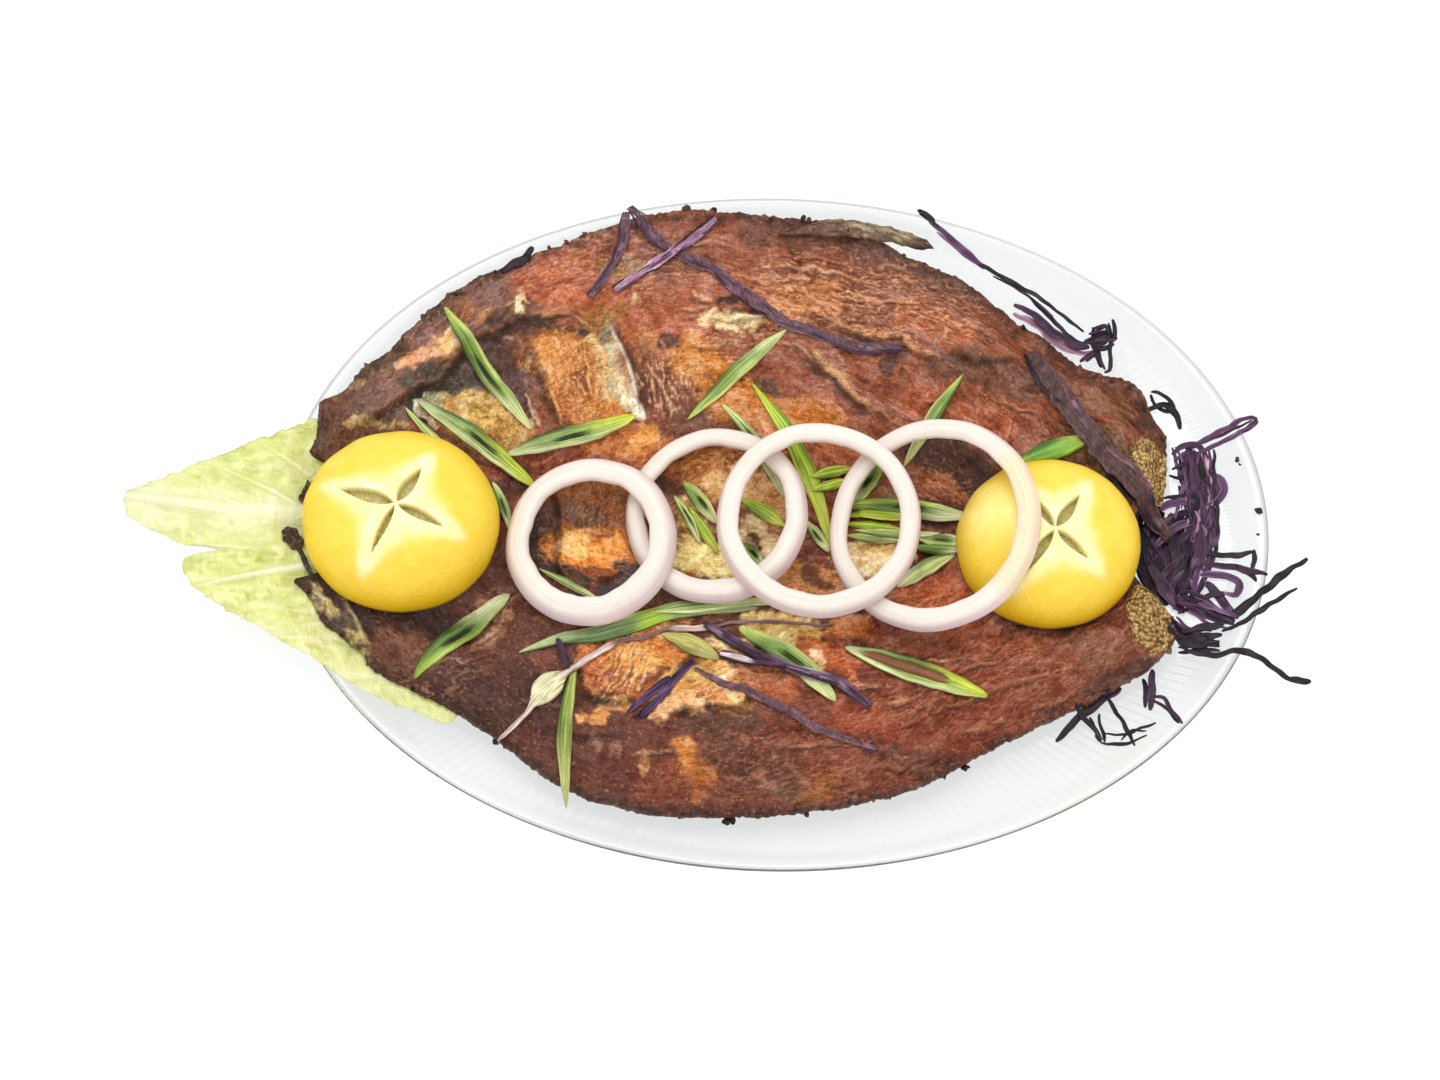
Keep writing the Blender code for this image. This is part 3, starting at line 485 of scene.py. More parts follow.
# --- materials ------------------------------------------------------------------------------------
class Material:
    """A node material: a Principled shader and helpers that add nodes in front of it."""

    def __init__(self, name, **sockets):
        self.data = bpy.data.materials.new(name)
        self.data.use_nodes = True
        self.tree = self.data.node_tree
        self.shader = self.tree.nodes["Principled BSDF"]
        for socket, value in sockets.items():
            self.shader.inputs[socket.replace("_", " ")].default_value = value

    def add(self, kind, output=0, inputs=None, **settings):
        """Add a node, fill or link its inputs, and give one of its outputs."""
        node = self.tree.nodes.new(f"ShaderNode{kind}")
        for setting, value in settings.items():
            setattr(node, setting, value)
        for socket, value in (inputs or {}).items():
            self.put(node.inputs[socket], value)
        return node.outputs[output]

    def put(self, socket, value):
        """Link a node's output to a socket, or set the socket's own value."""
        if isinstance(value, bpy.types.NodeSocket):
            self.tree.links.new(value, socket)
        else:
            socket.default_value = value

    def set(self, socket, value):
        """Link or set one of the shader's sockets."""
        self.put(self.shader.inputs[socket], value)

    def attribute(self, name, output="Fac"):
        """A value or colour kept on the mesh's points."""
        return self.add("Attribute", output, attribute_name=name)

    def place(self):
        """The place in the model, in metres, which stays with the piece."""
        return self.add("TexCoord", "Object")

    def stretch(self, vector, scale):
        """A vector with each direction scaled."""
        return self.add("Mapping", inputs={"Vector": vector, "Scale": scale})

    def noise(self, vector, scale, detail=4.0, rough=0.6, distortion=0.0):
        """Noise from about 0.2 to 0.8."""
        return self.add("TexNoise", inputs={"Vector": vector, "Scale": scale, "Detail": detail,
                                            "Roughness": rough, "Distortion": distortion})

    def cells(self, vector, scale, feature="F1"):
        """Distance to the nearest of many scattered points, or to the line between two of them."""
        return self.add("TexVoronoi", "Distance", feature=feature,
                        inputs={"Vector": vector, "Scale": scale})

    def span(self, value, low, high, to_low=0.0, to_high=1.0):
        """A value's range stretched to another."""
        return self.add("MapRange", inputs={"Value": value, "From Min": low, "From Max": high,
                                            "To Min": to_low, "To Max": to_high})

    def plus(self, a, b):
        """The sum of two values."""
        return self.add("Math", operation="ADD", inputs={0: a, 1: b})

    def times(self, a, b):
        """The product of two values."""
        return self.add("Math", operation="MULTIPLY", inputs={0: a, 1: b})

    def mix(self, share, a, b, blend="MIX"):
        """Two colours mixed."""
        inputs = {"Factor": share, 6: a, 7: b}
        return self.add("Mix", 2, data_type="RGBA", blend_type=blend, inputs=inputs)

    def tinted(self, colour, factors):
        """A colour with its red, green and blue multiplied."""
        return self.mix(1.0, colour, solid(factors), "MULTIPLY")

    def painted(self, share, colour, goal):
        """A colour mixed with another, which is given in the photograph's terms."""
        return self.mix(share, colour, solid(linear(*goal)))

    def bump(self, height, strength, distance):
        """Fine relief in the shading."""
        return self.add("Bump", inputs={"Height": height, "Strength": strength, "Distance": distance})

    def soften(self, weight, radius):
        """Let light through below the surface, to a depth for red, green and blue in metres."""
        self.shader.inputs["Subsurface Weight"].default_value = weight
        self.shader.inputs["Subsurface Radius"].default_value = radius
        self.shader.inputs["Subsurface Scale"].default_value = 1.0


def solid(colour):
    """A colour for a node's socket."""
    return (*colour, 1.0)


def fried_material():
    """Fried flesh and skin: fine grit over the painted colours, oil in places, grainy tail ends."""
    look = Material("fried_fish", Roughness=0.42, Coat_Weight=0.07, Coat_Roughness=0.2,
                    Specular_IOR_Level=0.2)
    paint = look.attribute("paint", "Color")
    grain = look.attribute("grain", "Vector")
    crisp = look.attribute("crisp")
    tail = look.attribute("tail")
    place = look.place()
    fibre = look.noise(look.stretch(grain, (0.16, 1.1, 1.0)), 1.0, 3.0, 0.6, 0.5)
    threads = look.noise(look.stretch(grain, (0.42, 1.9, 1.0)), 1.0, 2.0, 0.6, 0.3)
    crust = look.noise(place, 750.0, 6.0, 0.7, 0.3)
    # The fibre and crust that make the bump also set the colour: painted shade in their hollows and
    # painted highlights on their ridges.
    shade_and_tone = look.plus(look.times(fibre, 0.28), look.times(crust, 0.42))
    shade_and_tone = look.span(look.plus(shade_and_tone, look.times(threads, 0.3)), 0.375, 0.625)
    dark = look.tinted(paint, (0.44, 0.36, 0.31))
    colour = look.mix(shade_and_tone, dark, look.tinted(paint, (1.52, 1.6, 1.66)))
    brightness = look.add("RGBToBW", inputs={"Color": paint})
    colour = look.mix(look.span(brightness, 0.3, 0.6, 0.0, 0.55), colour, paint)
    char = look.span(look.noise(place, 260.0, 7.0, 0.74, 0.5), 0.56, 0.64)
    char = look.times(char, look.span(crisp, 0.0, 1.0, 0.25, 0.85))
    colour = look.painted(char, colour, (52, 33, 26))
    pits = look.span(look.noise(place, 1250.0, 2.0, 0.5), 0.6, 0.7)
    colour = look.painted(look.times(pits, 0.55), colour, (58, 36, 28))
    fleck = look.span(look.noise(place, 900.0, 3.0, 0.6, 0.4), 0.6, 0.67)
    pale = look.painted(0.35, look.tinted(paint, (2.2, 2.2, 2.2)), (236, 196, 142))
    colour = look.mix(look.times(fleck, 0.45), colour, pale)
    grains = look.cells(place, 780.0)
    # Each grain is painted pale at its middle, where its bump is highest, and dark at its border:
    # painted highlight and shade over the grains' own gold.
    golden = look.painted(look.span(grains, 0.14, 0.46), solid(linear(246, 229, 178)), (203, 159, 88))
    golden = look.painted(look.span(grains, 0.52, 0.78), golden, (98, 64, 36))
    shade = look.span(look.noise(place, 330.0, 3.0, 0.6), 0.44, 0.64)
    golden = look.mix(shade, golden, look.tinted(golden, (0.52, 0.44, 0.36)))
    look.set("Base Color", look.mix(tail, colour, golden))
    relief = look.plus(look.times(fibre, 0.35), crust)
    bulge = look.times(look.span(grains, 0.1, 0.65, 1.6, 0.0), tail)
    look.set("Normal", look.bump(look.plus(relief, bulge), 0.9, 0.0008))
    oily = look.noise(place, 95.0, 5.0, 0.62, 0.9)
    look.set("Roughness", look.span(oily, 0.35, 0.65, 0.3, 0.62))
    return look.data


def glass_material():
    """Clear pressed glass with a painted dark line on the rim: painted shade standing in for the dark
    that refraction gives where the rim is seen edge on.
    """
    look = Material("plate_glass", Roughness=0.03, IOR=1.46, Transmission_Weight=1.0)
    # edge: where the rim's painted shade line lies, and how dark it is
    edge = look.attribute("edge")
    look.set("Base Color", look.painted(edge, solid((0.83, 0.85, 0.845)), (134, 138, 126)))
    look.set("Normal", look.bump(look.noise(look.place(), 90.0, 3.0, 0.5), 0.12, 0.0006))
    shadow = look.add("LightPath", "Is Shadow Ray")
    clear = look.add("BsdfTransparent", inputs={"Color": solid((0.97, 0.98, 0.975))})
    passing = look.add("MixShader", inputs={0: shadow, 1: look.shader.outputs[0], 2: clear})
    look.tree.links.new(passing, look.tree.nodes["Material Output"].inputs["Surface"])
    return look.data


def lemon_material():
    """Lemon rind: waxy, pored, paler round the slits."""
    look = Material("lemon", Roughness=0.45, Coat_Weight=0.08, Coat_Roughness=0.25,
                    Specular_IOR_Level=0.3)
    paint = look.attribute("paint", "Color")
    place = look.place()
    pores = look.span(look.cells(place, 620.0), 0.05, 0.5)
    blush = look.noise(place, 120.0, 5.0, 0.6, 0.4)
    threads = look.noise(look.stretch(place, (900.0, 900.0, 60.0)), 1.0, 3.0, 0.6)
    colour = look.mix(look.span(blush, 0.35, 0.65), paint, look.tinted(paint, (0.98, 0.9, 0.62)))
    pitted = look.times(look.span(pores, 0.0, 0.35, 1.0, 0.0), 0.2)
    colour = look.mix(pitted, colour, look.tinted(paint, (0.85, 0.72, 0.3)))
    inner = look.painted(look.span(threads, 0.4, 0.6), solid(linear(176, 164, 98)), (204, 194, 128))
    look.set("Base Color", look.mix(look.attribute("flesh"), colour, inner))
    look.set("Normal", look.bump(look.plus(pores, blush), 0.35, 0.0004))
    look.soften(0.25, (0.004, 0.003, 0.001))
    return look.data


def onion_material():
    """Raw onion: wet, white and a little see-through, with fine layers round the ring."""
    look = Material("onion", Roughness=0.5, Coat_Weight=0.05, Coat_Roughness=0.25, IOR=1.36)
    paint = look.attribute("paint", "Color")
    grain = look.attribute("grain", "Vector")
    layers = look.noise(look.stretch(grain, (0.03, 1.1, 1.1)), 1.0, 5.0, 0.6)
    veins = look.noise(look.stretch(grain, (0.8, 0.1, 0.1)), 1.0, 3.0, 0.5)
    colour = look.mix(look.span(layers, 0.42, 0.62), paint, look.tinted(paint, (0.925, 0.895, 0.89)))
    veined = look.times(look.span(veins, 0.5, 0.7), 0.2)
    look.set("Base Color", look.painted(veined, colour, (210, 194, 180)))
    look.set("Normal", look.bump(look.plus(layers, look.times(veins, 0.3)), 0.3, 0.0005))
    look.soften(0.55, (0.006, 0.005, 0.0045))
    return look.data


def strand_material(name, roughness, gloss, stripe, bump_distance, soft):
    """Raw leaf vegetables cut in strips: fine stripes along the strip and a moist gloss."""
    look = Material(name, Roughness=roughness, Coat_Weight=0.3 * gloss, Coat_Roughness=0.18,
                    Specular_IOR_Level=gloss)
    paint = look.attribute("paint", "Color")
    grain = look.attribute("grain", "Vector")
    lines = look.noise(look.stretch(grain, (0.05, stripe, stripe)), 1.0, 4.0, 0.6, 0.2)
    blots = look.noise(look.place(), 260.0, 4.0, 0.6)
    dark = look.tinted(paint, (0.5, 0.52, 0.48))
    colour = look.mix(look.span(lines, 0.34, 0.66), dark, look.tinted(paint, (1.5, 1.45, 1.5)))
    colour = look.mix(look.times(look.span(blots, 0.5, 0.68), 0.4), colour, dark)
    look.set("Base Color", colour)
    look.set("Normal", look.bump(look.plus(lines, look.times(blots, 0.5)), 0.6, bump_distance))
    look.soften(soft, (0.001, 0.002, 0.0006))
    return look.data


def leaf_material():
    """Lettuce: thin, pale and translucent, with a fine web of veins."""
    look = Material("lettuce", Roughness=0.4, Coat_Weight=0.12, Coat_Roughness=0.25)
    paint = look.attribute("paint", "Color")
    place = look.place()
    drift = look.add("TexNoise", 1, inputs={"Vector": place, "Scale": 160.0})
    drift = look.add("VectorMath", operation="SCALE", inputs={0: drift, "Scale": 0.004})
    bent = look.add("VectorMath", operation="ADD", inputs={0: place, 1: drift})
    vein = look.span(look.cells(bent, 240.0, "DISTANCE_TO_EDGE"), 0.0, 0.09, 1.0, 0.0)
    blots = look.noise(place, 140.0, 5.0, 0.6)
    streaks = look.noise(look.stretch(place, (45.0, 330.0, 100.0)), 1.0, 5.0, 0.62, 0.6)
    colour = look.mix(look.span(blots, 0.35, 0.65), paint, look.tinted(paint, (0.88, 0.93, 0.7)))
    colour = look.painted(look.times(vein, 0.13), colour, (236, 238, 196))
    colour = look.painted(look.times(look.span(streaks, 0.5, 0.66), 0.5), colour, (226, 226, 192))
    look.set("Base Color", colour)
    look.set("Normal", look.bump(look.plus(look.times(vein, 0.4), blots), 0.5, 0.0006))
    look.soften(0.3, (0.002, 0.003, 0.001))
    return look.data


# --- platter --------------------------------------------------------------------------------------
def plate_height(x, y):
    """The platter's upper face: a flat well and a side that rises to the rim."""
    share = np.hypot(np.asarray(x) / PLATE_HALF_LENGTH, np.asarray(y) / PLATE_HALF_WIDTH)
    rise = np.clip((share - WELL_SHARE) / (1 - WELL_SHARE), 0, 1.35)
    return PLATE_WELL + (PLATE_RIM - PLATE_WELL) * rise**SLOPE_POWER


PLATE_SIDES = 960
PLATE_UPPER_ROWS = 16
PLATE_UNDER_ROWS = 12
PLATE_RIBS = 240
RIB_HEIGHT = 0.22
RIBS_START = 0.62           # share of the way out to the rim
RIM_SHADE_LEAST = 0.42         # strength of the rim's painted shade line where it is faintest
PLATE_RIM_PROFILE = [       # share of the way out, depth below the top of the rim
    (0.975, 0.55), (0.982, 0.2), (0.989, 0.0), (0.995, 0.2), (0.999, 0.7), (1.0, 1.3), (0.999, 1.9),
    (0.996, 2.3), (0.99, 2.6), (0.98, 3.0),
]
PLATE_FOOT_PROFILE = [      # share of the way out, height
    (FOOT_SHARE + 0.012, 0.35), (FOOT_SHARE, 0.0), (FOOT_SHARE - 0.02, 0.0),
    (FOOT_SHARE - 0.03, 0.3), (0.3, 0.35), (0.05, 0.35),
]


def build_plate(material):
    """Pressed glass: a smooth upper face, fine ribs under the side and a rounded rim."""
    angles = circle(PLATE_SIDES)
    profile = [(share, float(plate_height(share * PLATE_HALF_LENGTH, 0)), 0.0)
               for share in np.linspace(0.05, 0.965, PLATE_UPPER_ROWS)]
    profile += [(share, PLATE_RIM - depth, 0.0) for share, depth in PLATE_RIM_PROFILE]
    for share in np.linspace(0.955, RIBS_START, PLATE_UNDER_ROWS):
        top = float(plate_height(share * PLATE_HALF_LENGTH, 0))
        profile.append((share + 0.006, top - PLATE_WALL * ramp(share, 0.45, 0.72), 1.0))
    profile += [(share, height, 0.0) for share, height in PLATE_FOOT_PROFILE]
    # The rim's line is painted shade, darkest on the near right.
    shown = RIM_SHADE_LEAST + (1 - RIM_SHADE_LEAST) * np.maximum(np.cos(angles + 0.8), 0)
    rows, edge = [], []
    for share, height, ribbed in profile:
        rib = RIB_HEIGHT * np.cos(PLATE_RIBS * angles) * ribbed * ramp(share, RIBS_START, 0.7)
        rows.append(np.column_stack([share * PLATE_HALF_LENGTH * np.cos(angles),
                                     share * PLATE_HALF_WIDTH * np.sin(angles), height + rib]))
        edge.append(shown * ramp(share, 0.992, 0.999))
    plate = make("glass_platter", *tubes([rows]), material, "plate_glass",
                 masks={"edge": np.concatenate(edge)})
    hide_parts("plate")
    return plate


# --- leaf-shaped bodies: the fish and the lettuce -------------------------------------------------
def spread(upper, lower, middle, spine, sides):
    """An outline, and the line inside it from which rows of points spread out to it."""
    edge = np.vstack([smooth(upper, sides // 2 + 1)[:-1], smooth(lower, sides // 2 + 1)[:-1]])
    core = np.column_stack([middle[0] + spine * np.cos(circle(sides)), np.full(sides, middle[1])])
    reach = np.linalg.norm(edge - core, axis=1)
    steps = np.linalg.norm(np.diff(np.vstack([edge, edge[:1]]), axis=0), axis=1)
    return edge, core, reach, (edge - core) / reach[:, None], steps


def fold_rows(rows, sides):
    """Stack rows of a leaf-shaped body, whose first and last rows fold flat."""
    half = sides // 2 + 1
    return np.concatenate([rows[0][:half], *rows[1:-1], rows[-1][:half]])


def folded_faces(count, sides):
    """Faces between the rows that fold_rows stacks."""
    half = sides // 2 + 1
    fold = np.minimum(np.arange(sides), sides - np.arange(sides))
    index = np.empty((count, sides), int)
    index[0] = fold
    index[1:-1] = half + np.arange((count - 2) * sides).reshape(count - 2, sides)
    index[-1] = half + (count - 2) * sides + fold
    a, b = index[:-1], index[1:]
    corners = np.stack([a, np.roll(a, -1, axis=1), np.roll(b, -1, axis=1), b], axis=-1)
    faces = [list(dict.fromkeys(face)) for face in corners.reshape(-1, 4).tolist()]
    return [face for face in faces if len(face) > 2]


def along(x, y, start, end, half_width, height):
    """A ridge, or a hollow where the height is negative, along a straight line."""
    start = np.array(start, float)
    run = np.array(end, float) - start
    share = np.clip(((x - start[0]) * run[0] + (y - start[1]) * run[1]) / (run @ run), 0, 1)
    away = np.hypot(x - start[0] - share * run[0], y - start[1] - share * run[1])
    return height * np.exp(-(away / half_width) ** 2)


def seat(x, y, height):
    """Level the fish under each lemon."""
    for (middle_x, middle_y), radius, _, _ in LEMONS.values():
        away = np.hypot(x - middle_x, y - middle_y)
        level = float(plate_height(middle_x, middle_y)) + FISH_THICK
        height = height + (level - height) * (1 - ramp(away, radius - 4, radius + 8))
    return height


def fish_height(x, y, share):
    """Upper face of the fish: a rounded edge, two fillets, the opened belly and the head."""
    rim = FISH_EDGE + (FISH_THICK - FISH_EDGE) * ramp(share, 1.0, 0.72)
    relief = sum(along(x, y, *ridge) for ridge in FISH_RIDGES)
    crags = 1.1 * np.sin(x * 0.31 + 1.7 * np.sin(y * 0.17)) * np.cos(y * 0.37 + np.sin(x * 0.11))
    body = plate_height(x, y) + rim + relief * ramp(share, 1.05, 0.8) + crags * ramp(share, 1.1, 0.9)
    return seat(x, y, body)


# Colour patches of the fish: path, half width, colour, strength.
HEAD_PAINT = [
    ([(-146, 32), (-128, 46), (-108, 62), (-90, 78)], 17, (120, 89, 71), 0.85),
    ([(-134, 36), (-124, 36)], 8, (108, 85, 73), 0.8),
    ([(-132, 50), (-122, 56)], 5, (106, 86, 62), 0.7),
    ([(-122, 60), (-114, 64)], 4, (142, 96, 78), 0.8),
    ([(-97, 75), (-90, 80)], 6, (144, 101, 88), 0.8),
    ([(-104, 71), (-97, 65)], 4, (170, 108, 70), 0.8),
    ([(-124, 51), (-121, 52)], 1.5, (184, 168, 148), 0.8),
    ([(-120, 52), (-112, 56), (-104, 61)], 3.4, (208, 146, 98), 0.95),
    ([(-109, 57), (-106, 62)], 2.2, (230, 180, 106), 0.9),
    ([(-116, 49), (-108, 53)], 1.6, (150, 92, 64), 0.8),
    ([(-100, 63), (-94, 66), (-89, 68)], 1.5, (214, 160, 104), 0.8),
    ([(-148, 38), (-141, 42), (-136, 45)], 1.2, (166, 142, 92), 0.7),
    ([(-147, 34), (-140, 36)], 4, (128, 84, 62), 0.8),
    ([(-150, 22), (-143, 29)], 5, (108, 70, 52), 0.85),
    ([(-141, 27), (-131, 29.5), (-121, 29)], 0.8, (190, 158, 108), 0.75),
    ([(-118, 43), (-109, 46), (-100, 51)], 6, (66, 57, 45), 0.93),        # gill hollow, painted shade in it
    ([(-118, 44), (-119, 35), (-113, 28)], 1.6, (42, 36, 28), 0.9),
    ([(-113, 38), (-106, 38)], 3.6, (130, 124, 86), 0.9),
    ([(-116.5, 39), (-116, 34), (-111, 31)], 0.9, (196, 192, 166), 0.6),
    ([(-102, 36), (-94, 35), (-87, 30)], 7, (192, 146, 76), 0.95),          # golden bump
    ([(-99, 31), (-92, 34)], 3, (220, 178, 100), 0.8),
    ([(-98, 57), (-89, 50), (-82, 43)], 8, (102, 70, 60), 0.92),            # gill cover
    # painted highlight along the gill cover
    ([(-92, 61), (-87, 60), (-82, 57)], 0.8, (190, 150, 130), 0.8),
    # painted shadow under the red flesh's lower edge
    ([(-92, 64), (-78, 64), (-64, 62)], 3.2, (74, 50, 40), 0.85),
    ([(-87.5, 66), (-87, 80)], 1.5, (146, 106, 68), 0.7),
    ([(-84, 72), (-83.3, 78), (-82.4, 84)], 0.9, (238, 208, 162), 0.97),
    ([(-86.6, 67), (-85.6, 73)], 0.9, (240, 222, 172), 0.9),
    ([(-92, 8), (-84, 14)], 4, (88, 58, 48), 0.85),
]
FAR_PAINT = [
    ([(-80, 58), (-76, 44), (-72, 31)], 4.5, (146, 88, 58), 0.85),          # collar
    ([(-72, 55), (-64, 47), (-56, 40)], 9, (224, 156, 86), 0.95),           # meat on the ribs
    ([(-72, 44), (-66, 38)], 4, (206, 130, 68), 0.7),
    ([(-67, 47), (-62, 45)], 2.2, (186, 108, 74), 0.8),
    ([(-60, 30), (-52, 28), (-40, 24)], 6, (210, 136, 74), 0.9),
    ([(-46, 27), (-42, 30)], 3.2, (236, 166, 84), 0.8),
    ([(-60, 58), (-56, 50), (-53, 44)], 3.6, (246, 214, 152), 0.95),        # belly skin
    ([(-57, 67), (-55, 60), (-53, 55)], 2.8, (150, 142, 114), 0.95),
    ([(-52.5, 56), (-50.5, 48), (-48, 40)], 3.4, (222, 216, 190), 0.97),
    # painted highlight along the belly skin
    ([(-51, 54), (-48.5, 45), (-46, 36)], 1.5, (255, 250, 232), 0.98),
    ([(-46.5, 56), (-43.5, 46), (-42.5, 37)], 1.8, (146, 98, 76), 0.75),
    ([(-62, 68), (-54, 71)], 4, (178, 130, 68), 0.8),
    ([(-79, 84), (-66, 80), (-56, 86)], 11, (182, 99, 66), 0.92),           # red flesh
    ([(-75, 86), (-66, 88)], 4, (210, 126, 84), 0.7),
    ([(-78, 74), (-66, 73)], 3, (198, 114, 74), 0.75),
    ([(-58, 87), (-46, 87)], 3, (184, 134, 80), 0.7),
    ([(-38, 84), (-36, 75)], 3, (100, 66, 52), 0.75),
    ([(-48, 75), (-44, 73.5), (-42, 70)], 0.9, (238, 216, 152), 0.9),
    ([(-42, 71), (-41, 66)], 0.7, (238, 206, 150), 0.85),
    ([(-42, 66), (-30, 74), (-16, 79)], 10, (178, 103, 70), 0.8),
    ([(-40, 61), (-28, 64)], 6, (200, 126, 96), 0.7),
    ([(-43, 60), (-38, 57)], 4, (222, 160, 106), 0.7),
    ([(-36, 61), (-33, 60)], 2.2, (88, 56, 44), 0.9),
    ([(-24, 69), (-14, 68), (-4, 70)], 2.3, (240, 208, 146), 0.9),
    ([(-19, 74), (-15, 75)], 1.5, (66, 42, 28), 0.95),
    ([(-44, 52), (-38, 44), (-33, 36)], 8, (134, 82, 60), 0.85),
    ([(-27, 55), (-18, 47)], 7.5, (212, 142, 66), 0.92),
    ([(-30, 33), (-16, 36)], 5, (120, 77, 55), 0.85),
    ([(-14, 42), (0, 37), (14, 35)], 8, (208, 132, 62), 0.92),
    ([(-2, 51), (8, 52)], 6, (154, 90, 64), 0.8),
    ([(-7, 47), (-2, 46)], 2.4, (92, 72, 60), 0.85),
    ([(0, 74), (14, 78)], 6, (216, 138, 82), 0.85),
    ([(-14, 84), (-4, 80)], 3.5, (196, 116, 76), 0.7),
    ([(20, 50), (30, 54)], 5, (162, 94, 66), 0.7),
    ([(36, 54), (42, 57)], 2.6, (88, 62, 54), 0.8),
    ([(54, 56), (70, 52), (86, 50)], 4.6, (112, 78, 60), 0.72),
    ([(46, 42), (62, 38), (74, 36)], 5, (178, 100, 64), 0.85),
    ([(44, 72), (60, 66)], 5, (190, 112, 72), 0.75),
    ([(-8, 100), (24, 99), (58, 84)], 5, (112, 76, 60), 0.75),
    ([(92, 54), (110, 44), (122, 36)], 7, (130, 80, 54), 0.85),
    ([(104, 46), (114, 39)], 3, (146, 98, 64), 0.7),
    ([(100, 30), (112, 18)], 8, (112, 80, 50), 0.85),
]
MIDDLE_PAINT = [
    ([(-64, 12), (-54, 10)], 7, (176, 112, 62), 0.9),
    ([(-77, 2), (-73, -12)], 6.5, (82, 62, 54), 0.97),
    ([(-70, 4), (-61, 4)], 5, (124, 88, 72), 0.9),
    ([(-66, -8), (-52, -9)], 8, (226, 142, 68), 0.97),
    ([(-68, -6), (-64, -8)], 3, (242, 190, 116), 0.95),
    ([(-58, -8), (-52, -6)], 3, (238, 166, 84), 0.85),
    ([(-62, -3), (-54, -3.5)], 1.2, (150, 84, 46), 0.85),
    ([(-66, -18), (-54, -19)], 3.5, (136, 77, 54), 0.9),
    ([(-50, -14), (-46, -18), (-53, -22)], 3.2, (76, 64, 70), 0.92),
    ([(-71, -18), (-62, -22)], 3, (66, 55, 36), 0.85),
    ([(-52, 8), (-49, 0)], 3, (164, 108, 68), 0.8),
    ([(-45, 4), (-43, -6)], 3.4, (118, 80, 64), 0.8),
    ([(-26, 21), (-12, 22)], 7, (194, 124, 62), 0.92),
    ([(-20, 16), (-12, 12)], 4, (232, 178, 106), 0.9),
    ([(-37, 14), (-31, 12)], 3.4, (92, 60, 44), 0.88),
    ([(-28, 5), (-24, -5)], 5, (216, 176, 110), 0.9),
    ([(-30, -10), (-14, -13)], 6.5, (250, 224, 152), 0.97),
    ([(-32, -16), (-27, -16.5)], 2.2, (168, 96, 44), 0.92),
    ([(-9, 15), (1, 8)], 6.5, (222, 166, 104), 0.9),
    ([(-7, -1), (1, -8)], 5, (230, 198, 150), 0.9),
    ([(-6, -2), (-3, -5)], 0.9, (70, 44, 28), 0.9),
    ([(12, 25), (25, 24)], 5, (194, 116, 76), 0.85),
    ([(3, -17), (21, -18)], 5.5, (208, 146, 90), 0.9),
    ([(12, -15), (17, -19)], 2.4, (96, 54, 36), 0.85),
    ([(27, -9), (38, -12)], 6, (240, 210, 154), 0.95),
    ([(28, -6), (38, -7)], 1.6, (206, 160, 78), 0.8),
    ([(34, 8), (38, 10)], 3, (150, 112, 72), 0.8),
    ([(47, 27), (58, 24), (70, 15)], 7, (88, 61, 54), 0.92),
    ([(50, 17), (60, 12)], 2.8, (182, 112, 74), 0.88),
    ([(46, 7), (60, 5)], 3.4, (84, 52, 42), 0.88),
    ([(44, -24), (62, -20)], 5, (196, 104, 58), 0.85),
    ([(58, -13), (64, -12)], 3.5, (170, 98, 60), 0.8),
]
